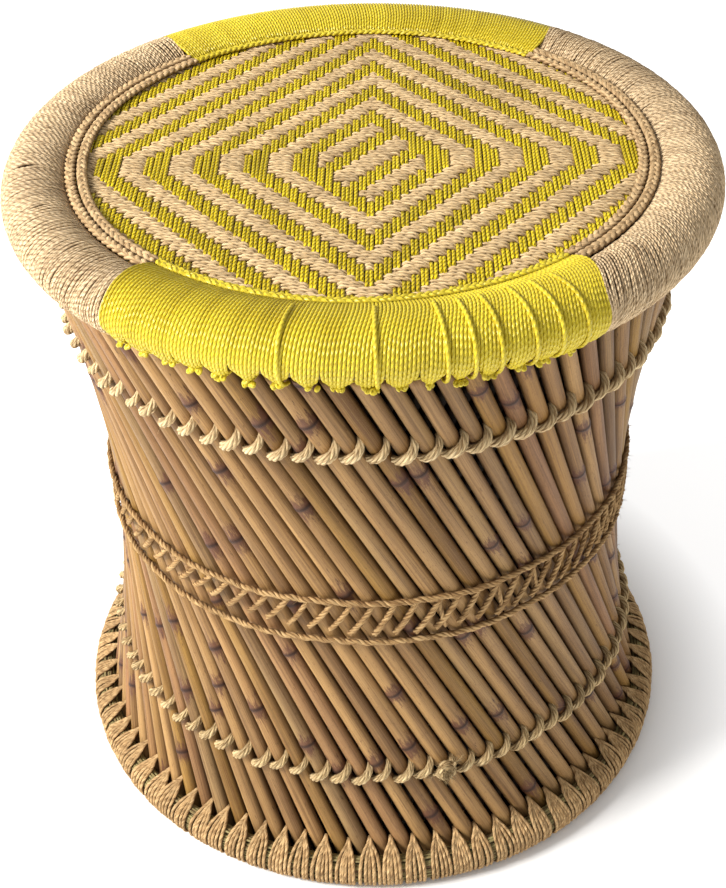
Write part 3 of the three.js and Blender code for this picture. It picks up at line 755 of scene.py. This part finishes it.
def jute_stray(section, whole, wobble, slit_turns):
    """How many cords a jute cord lies beside its place: pairs that drift, pushed aside at the slits."""
    stray = 0.06 * (1 - 2 * (whole % 2)) + 0.18 * np.sin(4 * section + wobble)
    for slit_turn, middle, half_length in slit_turns:
        beside = whole + 0.5 - slit_turn
        near = np.exp(-((section - middle) / half_length) ** 2 - np.abs(beside) / 2)
        stray = stray + SLIT_OPENING * np.sign(beside) * near
    return stray


def rim_wrap(name, start, end, is_yellow):
    """The cords of one stretch of the rim, wound as one unbroken spiral."""
    cord = YELLOW_CORD if is_yellow else JUTE_CORD
    steps = 34 if is_yellow else 30
    start, end = np.radians(start), np.radians(end)
    turns = int((end[0] - start[0]) * (RIM_CENTRE_RADIUS + RIM_HALF_WIDTH) / cord)
    outline = rim_section(is_yellow, steps)
    ahead = np.roll(outline, -1, axis=0) - np.roll(outline, 1, axis=0)
    outline_normal = unit(np.stack([ahead[:, 1], -ahead[:, 0]], axis=-1))
    index = np.arange(turns * steps + 1)
    whole = index // steps
    out, up = outline[index % steps].T
    normal_out, normal_up = outline_normal[index % steps].T
    section = np.arctan2(up, out)
    share = (index / steps - END_INSET) / (turns - 2 * END_INSET)
    inward = smooth_step(0.5 - 0.5 * out / RIM_HALF_WIDTH)
    first_edge = start[0] + (start[1] - start[0]) * inward
    last_edge = end[0] + (end[1] - end[0]) * inward
    angle = first_edge + (last_edge - first_edge) * share
    fade = np.clip(np.minimum(share, 1 - share) * turns / FADE_TURNS, 0, 1)
    slant = smoothed(rng.normal(0, 1.0, turns + 2))[whole]
    lift = rng.uniform(0, 1.0, turns + 2)[whole]
    wobble = rng.uniform(0, FULL_TURN, turns + 2)[whole]
    if is_yellow:
        shift, sink, drop, lift = yellow_lay(angle, out, section, slant, lift)
        lean = 0.006 * np.sin(section - 0.4)
    else:
        shift, sink, drop, lift = jute_lay(angle, out, section, fade * slant * JUTE_SLANTS[name], lift)
        lean = 0.020 * np.sin(section - 0.6)
        slit_turns = []
        for degrees, middle, half_length in SLITS.get(name, ()):
            slit_share = (math.radians(degrees) - start[0]) / (end[0] - start[0])
            slit_turns.append((END_INSET + slit_share * (turns - 2 * END_INSET), middle, half_length))
        shift = shift + jute_stray(section, whole, wobble, slit_turns) * cord / (RIM_CENTRE_RADIUS + out)
    angle = angle + shift + lean * fade
    depth = cord / 2 * 1.02
    proud = lift - depth - sink
    path = polar(RIM_CENTRE_RADIUS + out + normal_out * proud, angle,
                 RIM_CENTRE_HEIGHT + up + normal_up * proud - drop)
    outward = polar(normal_out, angle, normal_up)
    half_width = (last_edge - first_edge) / turns * (RIM_CENTRE_RADIUS + out) / 2
    half_width = half_width * (1.0 if is_yellow else 0.95)
    strands = Strands()
    turns_per_tube = 3 if is_yellow else 1
    turn_length = 103.0  # about the way once round the rim's section
    for first in range(0, turns, turns_per_tube):
        part = slice(first * steps, min(first + turns_per_tube, turns) * steps + 1)
        strands.tube(path[part], outward[part], half_width[part], depth, 6 if is_yellow else 5,
                     along_start=first * turn_length, cell_rings=steps * 3, capped=False)
    if name == "yellow_front":
        loose_strands(strands, outline, outline_normal)
        small_loops(strands)
    strands.piece(f"rim_cords_{name}", YELLOW_RIM if is_yellow else JUTE_RIM, f"rim_wrap_{name}",
                  "yellow_cord" if is_yellow else "jute_cord")


def loose_strands(strands, outline, outline_normal):
    """Cords that lie proud of the yellow wrap, from its lower edge up and over the rim."""
    section = np.arange(int(len(outline) * 0.04), int(len(outline) * 0.56) + 1)
    share = np.linspace(0, 1, len(section))
    proud = 0.45 * np.sin(math.pi * np.clip(share * 1.1, 0, 1)) ** 0.5
    out, up = (outline[section] + outline_normal[section] * proud[:, None]).T
    normal_out, normal_up = outline_normal[section].T
    for degrees in LOOSE_STRANDS:
        angle = math.radians(degrees) + 0.022 * (share - 0.3) ** 2 - 0.012 * share + rng.normal(0, 0.002)
        path = polar(RIM_CENTRE_RADIUS + out, angle, RIM_CENTRE_HEIGHT + up - 2.0 * (1 - share) ** 6)
        outward = polar(normal_out, angle, normal_up)
        strands.tube(resample(path, 60), resample(outward, 60), 1.15, 0.95, 8)


def small_loops(strands):
    """Small tight loops of yellow cord that hang at the lower edge of each bunch."""
    first_gap = gap_near(math.radians(CHANGES[2][0]) + CANE_PITCH * 0.6)
    gaps = int((math.radians(CHANGES[3][0]) - first_gap) / CANE_PITCH)
    for number in range(gaps):
        for _ in range(rng.integers(3, 6)):
            angle = first_gap + number * CANE_PITCH + rng.normal(0, 0.17) * CANE_PITCH
            turn = np.linspace(-0.1, rng.uniform(0.8, 1.2), 14) * FULL_TURN
            wide = rng.uniform(0.5, 1.0)
            tall = rng.uniform(0.5, 1.0)
            rise = np.sin(turn + rng.uniform(-0.8, 0.8))
            radius = RIM_CENTRE_RADIUS + 0.62 * RIM_HALF_WIDTH + rng.uniform(-0.6, 0.8)
            height = RIM_CENTRE_HEIGHT - 0.8 * RIM_HALF_HEIGHT - rng.uniform(0.6, 3.0)
            path = polar(radius - 0.8 * rise, angle + wide * np.cos(turn) / radius, height + tall * rise)
            strands.tube(path, radial(angle), 0.95, 0.95, 7)


def rim_roll():
    """The straw roll inside the wraps."""
    angle = evenly_round(96)
    strands = Strands()
    strands.tube(polar(RIM_CENTRE_RADIUS, angle, RIM_CENTRE_HEIGHT), radial(angle),
                 RIM_HALF_HEIGHT - RIM_WRAP - 0.4, RIM_HALF_WIDTH - RIM_WRAP - 0.4, 20, closed=True)
    strands.piece("rim_straw_roll", STRAW, "rim_core", "straw")


# Knots and ropes


def cane_frame(angle, height):
    """An outer cane's middle at a height, with its outward, sideways and lengthwise directions."""
    middle = cane_axis(OUTER_AXIS_RADIUS, OUTER_RUN, angle, height)
    lengthwise = unit(cane_axis(OUTER_AXIS_RADIUS, OUTER_RUN, angle, height + 1) - middle)
    outward = radial(angle + cane_turn(OUTER_AXIS_RADIUS, OUTER_RUN, height))
    outward = unit(outward - lengthwise * np.dot(outward, lengthwise))
    return middle, outward, np.cross(lengthwise, outward), lengthwise


def knot_row(name, node, material, height, thickness, lay, tied_at=None):
    """A rope that loops round each cane in turn, climbing from its lower left to its upper right."""
    strands = Strands()
    around = np.linspace(-1.5, 1.5, 16)
    swell = 0.5 + 0.55 * np.cos(around * 0.9)
    for number in range(OUTER_CANES):
        fat = thickness / 2 * rng.uniform(0.88, 1.12)
        middle, outward, sideways, lengthwise = cane_frame((number + 0.5) * CANE_PITCH,
                                                           height + rng.uniform(-1.6, 1.6))
        hold = CANE_RADIUS - 0.3 + fat * 0.86
        steep = rng.uniform(2.0, 3.0)
        climb = 1.5 * around + steep * np.clip(around - 0.2, 0, None) ** 1.6 - 0.8
        away = np.cos(around)[:, None] * outward + np.sin(around)[:, None] * sideways
        path = middle + hold * away + climb[:, None] * lengthwise
        rope(strands, path, away, 5, lay, fat, taper=swell, snug=1.05)
        for _ in range(rng.integers(5, 10)):
            end = path[rng.integers(1, 4)] if rng.random() < 0.5 else path[-rng.integers(2, 5)]
            hair(strands, end + outward * fat * 0.6, outward + rng.normal(0, 0.9, 3), rng.uniform(2.0, 5.5))
    if tied_at is not None:
        tied_knot(strands, tied_at, height, thickness / 2)
    strands.piece(name, material, node, "knot_cord")


def tied_knot(strands, angle, height, radius):
    """The one knot where the row's rope was tied off, with its frayed ends."""
    lay = 12.0
    middle, outward, sideways, lengthwise = cane_frame(angle, height)
    centre = middle + outward * (CANE_RADIUS + radius + 0.6)
    turn = np.linspace(0, 3.2 * FULL_TURN, 90)
    coil = 3.4 + 1.3 * np.sin(turn * 0.65)
    path = (centre + np.outer(coil * np.cos(turn), sideways)
            + np.outer(coil * np.sin(turn) * 0.95, lengthwise)
            + np.outer(1.9 * np.sin(turn * 0.75 + 0.6), outward))
    rope(strands, path, outward, 3, lay, radius * 0.85)
    share = np.linspace(0, 1, 12)[:, None]
    for side in (-1, 1):
        end = centre + side * (sideways * 3 + share * (sideways * 5 + lengthwise * side * 1.5))
        end = end + outward * (0.8 - 1.6 * share)
        rope(strands, end, outward, 3, lay, radius * 0.7, taper=np.linspace(1, 0.6, 12))
        for _ in range(16):
            hair(strands, end[-1], side * sideways + rng.normal(0, 0.5, 3), rng.uniform(3, 7), 0.24)
    for _ in range(130):
        place = path[rng.integers(0, len(path))] + outward * radius * 0.6
        hair(strands, place, outward + rng.normal(0, 1.3, 3), rng.uniform(2.5, 6.5), 0.3)


def waist_rope(name, height, node):
    """A twisted rope that runs round the waist, not quite evenly."""
    strands = Strands()
    angle = evenly_round(1100)
    wave = 0.4 * np.sin(angle * OUTER_CANES + 0.4) + 0.6 * np.sin(angle * 7 + 1.0) + 0.4 * np.sin(angle * 17)
    radius = cane_surface_radius(height) + WAIST_ROPE / 2 - 0.4 + 0.2 * np.cos(angle * OUTER_CANES)
    path = polar(radius, angle, height + wave)
    rope(strands, path, radial(angle), 3, WAIST_LAY, WAIST_ROPE / 2, closed=True, handed=-1)
    for _ in range(150):
        place = rng.integers(0, len(angle))
        outward = radial(angle[place])
        hair(strands, path[place] + outward * 1.6, outward + rng.normal(0, 0.9, 3), rng.uniform(2, 5))
    strands.piece(name, WAIST, node, "waist_rope")


def waist_ties():
    """Ties that slant across each cane from the upper rope; on one side they are longer, and a few fork."""
    strands = Strands()
    high = UPPER_ROPE_HEIGHT - 0.6
    share = np.linspace(0, 1, 22)
    bulge = np.sin(math.pi * (0.12 + 0.88 * share)) ** 0.5
    for number in range(OUTER_CANES):
        cane_angle = (number + 0.5) * CANE_PITCH
        length_share = min(max(math.cos(cane_angle + 0.9) * 2.5 - 1.2, 0), 1)
        low = LOWER_ROPE_HEIGHT + 11.0 - 6.5 * length_share
        is_forked = length_share == 1 and rng.random() < 0.35
        # Each leg: how wide it slants, how far beside the cane it lies, how thick and how far out it is
        legs = ((1, 0, 1, 0), (-0.35, 0.65, 0.75, 0.5))
        for slant, beside, thinning, raised in legs[:2 if is_forked else 1]:
            spread = rng.uniform(1.0, 1.25) * CANE_PITCH * slant
            middle = cane_angle + beside * CANE_PITCH + rng.normal(0, 0.03) * CANE_PITCH
            angle = middle + (share - 0.5) * spread
            start = low + rng.uniform(-1.0, 2.4)
            height = start + (high - start) * share - 1.2 * np.sin(math.pi * share)
            thickness = TIE * rng.uniform(0.88, 1.1) * thinning
            radius = cane_surface_radius(height) + thickness / 2 - 1.6 + 1.5 * bulge + raised
            rope(strands, polar(radius, angle, height), radial(angle), 3, TIE_LAY, thickness / 2,
                 taper=0.8 + 0.2 * bulge, handed=-1)
        if rng.random() < 0.5:
            place = polar(cane_surface_radius(low) + 1.0, cane_angle - 0.5 * CANE_PITCH, low + 2)
            hair(strands, place, radial(cane_angle) + rng.normal(0, 0.8, 3), rng.uniform(2, 5))
    strands.piece("waist_ties", WAIST, "waist_cross_lashing", "waist_rope")


# Foot ring


def foot_straws():
    """The foot's roll: a core, thin dry stalks laid round it, and a few on its inner shoulder."""
    strands = Strands()
    angle = evenly_round(168)
    strands.tube(polar(FOOT_RADIUS, angle, FOOT_HEIGHT), radial(angle), FOOT_HALF_HEIGHT - 0.9,
                 FOOT_HALF_WIDTH - 0.9, 16, closed=True)
    for stalk in range(STALKS):
        section = FULL_TURN * stalk / STALKS + 0.12 * np.sin(angle * rng.integers(2, 6) + rng.uniform(0, 6))
        path = polar(FOOT_RADIUS + (FOOT_HALF_WIDTH - STALK_DEPTH) * np.cos(section), angle,
                     FOOT_HEIGHT + (FOOT_HALF_HEIGHT - STALK_DEPTH) * np.sin(section))
        strands.tube(path, polar(np.cos(section), angle, np.sin(section)), 0.95, 0.8, closed=True)
    for out, up in ((185.2, 14.6), (186.0, 16.6), (187.6, 17.9), (189.4, 18.6), (191.3, 18.6)):
        sway = 0.3 * np.sin(angle * rng.integers(3, 8) + rng.uniform(0, 6))
        strands.tube(polar(out + sway, angle, up + sway), UPWARDS, 1.0, 0.8, closed=True)
    strands.piece("foot_straws", STRAW, "foot_core", "straw")


def foot_fan(strands, number):
    """Jute strands from one gap between the canes, opening out over the roll and round under it."""
    section = np.radians([72, 50, 28, 8, -15, -38, -60, -80, -100, -125, -150])
    start_out = np.array([-5.0, -0.8, 2.6, 6.4])
    start_rise = np.array([1.0, 0.0, -2.0, -4.2])
    tip_angle = ((number + 1) * CANE_PITCH + cane_turn(OUTER_AXIS_RADIUS, OUTER_RUN, FAN_TIP_HEIGHT)
                 + rng.normal(0, 0.03) * CANE_PITCH)
    foot_angle = tip_angle + rng.normal(0, 0.05) * CANE_PITCH
    tip_height = FAN_TIP_HEIGHT + rng.uniform(-1.2, 2.2)
    per_fan = rng.choice([5, 5, 5, 6])
    half = FAN_STRAND * rng.uniform(0.96, 1.06)
    spread = CANE_PITCH * rng.uniform(0.68, 0.82)
    opened = np.ones(len(start_out) + len(section))
    opened[:5] = 0.0, 0.1, 0.5, 0.8, 0.96
    for strand in range(per_fan):
        place = strand / (per_fan - 1) - 0.5 + rng.normal(0, 0.015)
        own_half = half * rng.uniform(0.9, 1.08)
        inner = 1 - abs(2 * place)
        start_radius = cane_surface_radius(FAN_TIP_HEIGHT) + start_out + 1.6 * inner
        start_height = np.maximum(tip_height + start_rise - 1.5 * inner, FOOT_HEIGHT + FOOT_HALF_HEIGHT + 2.4)
        radius = np.concatenate([start_radius, FOOT_RADIUS + (FOOT_HALF_WIDTH + own_half) * np.cos(section)])
        height = np.concatenate([start_height, FOOT_HEIGHT + (FOOT_HALF_HEIGHT + own_half) * np.sin(section)])
        height = np.maximum(height, own_half)
        wander = rng.normal(0, 0.02) * CANE_PITCH * np.sin(np.linspace(0, 3, len(radius)))
        angle = tip_angle + (foot_angle - tip_angle) * opened + place * spread * opened + wander
        path = smoothed(resample(polar(radius, angle, height), 26))
        path[:, 2] = np.maximum(path[:, 2], own_half * 0.98)
        outward = path - polar(FOOT_RADIUS, np.arctan2(path[:, 1], path[:, 0]), FOOT_HEIGHT)
        outward[:5] = polar(1.0, tip_angle, 1.6)
        strands.tube(path, outward, own_half * 1.02, own_half)


def foot_fans():
    """The foot's jute binding, a fan for each gap between the canes."""
    fans_per_sector = OUTER_CANES // FOOT_SECTORS
    for sector in range(FOOT_SECTORS):
        strands = Strands()
        for fan in range(fans_per_sector):
            foot_fan(strands, sector * fans_per_sector + fan)
        strands.piece(f"foot_fans_{sector + 1:02d}", JUTE_FOOT, f"foot_binding_{sector + 1:02d}", "jute_cord")


# Seat


def yellow_on_top(column, row):
    """Whether the yellow cord lies over the jute one where this column and row cross.

    Rows are counted half a row off the pattern's middle. Nested diamonds, three cords of each colour wide
    and drawn out by three rows, surround slanting stripes.
    """
    along = row + 0.5
    ring = np.abs(column) + np.clip(np.abs(along) - 1.5, 0, None)
    slant = np.abs(along - column)
    in_stripe = (slant > 2) & (slant < 5)
    return np.where(ring <= 6, in_stripe, np.isin(ring % 6, (1, 2, 3)))


def weave_heights(over, samples_per_cell, low, high):
    """Places and heights along a cord that goes over and under, with quick crossings in between."""
    levels = np.where(over, high, low)
    places = np.linspace(0, len(levels) - 1, (len(levels) - 1) * samples_per_cell + 1)
    base = np.clip(np.floor(places).astype(int), 0, len(levels) - 2)
    ease = smooth_step((places - base - 0.5) / 0.9 + 0.5)
    return places, levels[base] * (1 - ease) + levels[base + 1] * ease


def crossings(across, middle, pitch):
    """The numbers of the cords that cross one lying this far beside the seat's middle."""
    half = math.sqrt(SEAT_RADIUS ** 2 - across ** 2)
    return np.arange(math.ceil((-half - middle) / pitch), math.floor((half - middle) / pitch) + 1)


def sink_at_edge(path):
    """Lowers a cord where it runs on under the plait."""
    distance = np.hypot(path[:, 0], path[:, 1])
    path[:, 2] -= np.clip(distance - WEAVE_RADIUS - 2, 0, 20) * 0.25


def yellow_seat_cords():
    """The paired yellow cords from front to back."""
    middle_x, middle_y = WEAVE_MIDDLE
    halves = {"left": Strands(), "right": Strands()}
    most = int((SEAT_RADIUS + abs(middle_x) + 6) / COLUMN_PITCH)
    for column in range(-most, most + 1):
        x = middle_x + column * COLUMN_PITCH
        if abs(x) > SEAT_RADIUS - 4:
            continue
        rows = crossings(x, middle_y, ROW_PITCH)
        places, heights = weave_heights(yellow_on_top(column, rows), 4, SEAT_TOP - YELLOW_UNDER,
                                        SEAT_TOP - CORD_OVER)
        y = middle_y + (rows[0] + 0.5 + places) * ROW_PITCH
        for side in (-1, 1):
            sway = 0.16 * np.sin(y * 0.11 + rng.uniform(0, 6)) + COLUMN_LEAN * (y - middle_y)
            beside = x + side * YELLOW_HALF_WIDTH + sway
            path = np.stack([beside, y, heights + rng.uniform(-0.12, 0.12)], axis=-1)
            path = path[np.hypot(path[:, 0], path[:, 1]) < SEAT_RADIUS]
            sink_at_edge(path)
            half = halves["right" if column >= 0 else "left"]
            half.tube(path, UPWARDS, YELLOW_HALF_WIDTH, 0.95, cell_rings=80)
    for label, strands in halves.items():
        strands.piece(f"seat_yellow_cords_{label}", YELLOW_SEAT, "seat_yellow_cords", "yellow_cord")


def jute_seat_cords():
    """The jute from side to side: in each row two cords, each twisted from two plies."""
    middle_x, middle_y = WEAVE_MIDDLE
    parts = {"front": Strands(), "middle": Strands(), "back": Strands()}
    most = int((SEAT_RADIUS + abs(middle_y)) / ROW_PITCH)
    for row in range(-most - 1, most + 1):
        y = middle_y + (row + 0.5) * ROW_PITCH
        if abs(y) > SEAT_RADIUS - 4:
            continue
        shift = middle_x + COLUMN_LEAN * (y - middle_y)
        columns = crossings(y, shift, COLUMN_PITCH)
        places, heights = weave_heights(~yellow_on_top(columns, row), 3, SEAT_TOP - JUTE_UNDER,
                                        SEAT_TOP - CORD_OVER)
        part = "front" if row < -most // 3 else "back" if row > most // 3 else "middle"
        x = shift + (columns[0] + places) * COLUMN_PITCH
        sway = 0.2 * np.sin(x * 0.09 + rng.uniform(0, 6))
        path = np.stack([x, y + sway, heights + rng.uniform(-0.1, 0.1)], axis=-1)
        sink_at_edge(path)
        for side in (-1, 1):
            beside = path + (0, side * JUTE_BESIDE, 0.1 * side)
            phase = rng.uniform(0, 6)
            for ply_path in ply_paths(beside, UPWARDS, 2, JUTE_LAY, *JUTE_TWIST, phase=phase, handed=-1):
                fat = JUTE_PLY_RADIUS * rng.uniform(0.92, 1.08)
                parts[part].tube(ply_path, UPWARDS, fat, fat * 0.95, 5, cell_rings=80)
    for label, strands in parts.items():
        strands.piece(f"seat_jute_cords_{label}", JUTE_SEAT, "seat_jute_cords", "jute_cord")


def plait(strands, radius, start, end, height, width, strand_radius, lay, handed=1):
    """A three-strand plait that lies flat along a circle of the stool."""
    length = radius * (end - start)
    angle = np.linspace(start, end, int(length / 0.8))
    along = np.linspace(0, length, len(angle))
    reach = width / 2 - strand_radius * 1.2
    sway = 0.3 * np.sin(along * 0.045 + radius)
    for strand in range(3):
        phase = handed * FULL_TURN * (along / lay + strand / 3)
        out = radius + reach * np.sin(phase) + sway
        up = height + strand_radius * 0.45 * np.tanh(1.6 * np.sin(2 * phase))
        strands.tube(polar(out, angle, up), UPWARDS, strand_radius * 1.2, strand_radius * 0.85, 8)


def edge_plaits(name, start, end, is_yellow):
    """The plaits along one stretch of the seat's edge: one of yellow, or two of jute side by side."""
    strands = Strands()
    first, last = math.radians(start[1]) + PLAIT_GAP, math.radians(end[1]) - PLAIT_GAP
    if is_yellow:
        plait(strands, WEAVE_RADIUS + YELLOW_PLAIT_WIDTH / 2, first, last, SEAT_TOP + 1.2,
              YELLOW_PLAIT_WIDTH, 1.05, 12.0)
    else:
        for number in (0, 1):
            plait(strands, WEAVE_RADIUS + JUTE_PLAIT_WIDTH * (number + 0.5), first, last,
                  SEAT_TOP + 1.3 + 0.4 * number, JUTE_PLAIT_WIDTH, 1.35, 15.0, 1 - 2 * number)
    strands.piece(f"seat_plait_{name}", YELLOW_RIM if is_yellow else JUTE_PLAIT, f"braid_{name}",
                  "yellow_cord" if is_yellow else "jute_cord")


# Stage


def place_camera():
    """The camera that the photograph was taken with, as fitted."""
    data = bpy.data.cameras.new("camera")
    data.sensor_width = SENSOR
    data.lens = FOCAL_PIXELS * SENSOR / PHOTO_HEIGHT
    data.clip_start, data.clip_end = 0.05, 50.0
    camera = add_object("camera", data)
    tilt = Matrix.Rotation(math.pi / 2 - CAMERA_ELEVATION, 4, "X")
    backwards = tilt @ Vector((0, 0, CAMERA_DISTANCE))
    place = Matrix.Translation((Vector(CAMERA_TARGET) + backwards) * METRES)
    camera.matrix_world = place @ tilt @ Matrix.Rotation(CAMERA_ROLL, 4, "Z")
    bpy.context.scene.camera = camera


def key_light():
    """A square soft box on the left that faces the middle of the stool."""
    data = bpy.data.lights.new("key", "AREA")
    data.shape = "SQUARE"
    data.size = KEY_SIZE
    data.energy = KEY_POWER
    data.color = KEY_COLOUR
    light = add_object("key", data)
    light.location = KEY_PLACE
    light.rotation_mode = "QUATERNION"
    light.rotation_quaternion = (Vector(KEY_PLACE) - Vector(KEY_AIM)).to_track_quat("Z", "Y")


def pale_floor():
    """The floor, which isn't part of the object."""
    mesh = bpy.data.meshes.new("floor")
    corners = [(x * FLOOR_HALF, y * FLOOR_HALF, 0) for x, y in ((-1, -1), (1, -1), (1, 1), (-1, 1))]
    mesh.from_pydata(corners, [], [(0, 1, 2, 3)])
    mesh.materials.append(floor_material())
    floor = add_object("floor", mesh)


def surround():
    """A surround that lights more from the left than from the right, and is white where it is seen."""
    world = bpy.data.worlds.new("surround")
    world.use_nodes = True
    nodes = Nodes(world.node_tree)
    direction = nodes.node("ShaderNodeTexCoord").outputs["Generated"]
    direction = nodes.node("ShaderNodeSeparateXYZ", {0: direction})
    light = nodes.span(direction.outputs["X"], -1.0, 1.0, SURROUND_LEFT, SURROUND_RIGHT)
    seen = nodes.node("ShaderNodeLightPath").outputs["Is Camera Ray"]
    background = world.node_tree.nodes["Background"]
    nodes.feed(background.inputs["Color"], (1, 1, 1, 1))
    nodes.feed(background.inputs["Strength"], nodes.math("MAXIMUM", light, seen))
    bpy.context.scene.world = world
    bpy.context.scene.view_settings.view_transform = "Standard"


place_camera()
pale_floor()
surround()
key_light()
cane_layer("cane", "outer", CANE, OUTER_AXIS_RADIUS, OUTER_RUN, OUTER_BUNDLES, sides=16, ring_step=9.0,
           bow=0.5)
cane_layer("inner_cane", "inner", SHADED_INNER_CANE, INNER_AXIS_RADIUS, INNER_RUN, INNER_BUNDLES, sides=10,
           ring_step=16.0, bow=0.3)
top_hoop()
rim_roll()
for stretch in STRETCHES:
    rim_wrap(*stretch)
knot_row("upper_knots", "upper_lashing", KNOT, UPPER_KNOT_HEIGHT, thickness=5.3, lay=18.0)
knot_row("lower_knots", "lower_lashing", LOWER_KNOT, LOWER_KNOT_HEIGHT, thickness=5.2, lay=17.0,
         tied_at=(TIED_CANE + 0.5) * CANE_PITCH)
waist_rope("waist_rope_top", UPPER_ROPE_HEIGHT, "waist_rope_upper")
waist_rope("waist_rope_bottom", LOWER_ROPE_HEIGHT, "waist_rope_lower")
waist_ties()
foot_straws()
foot_fans()
yellow_seat_cords()
jute_seat_cords()
for stretch in STRETCHES:
    edge_plaits(*stretch)
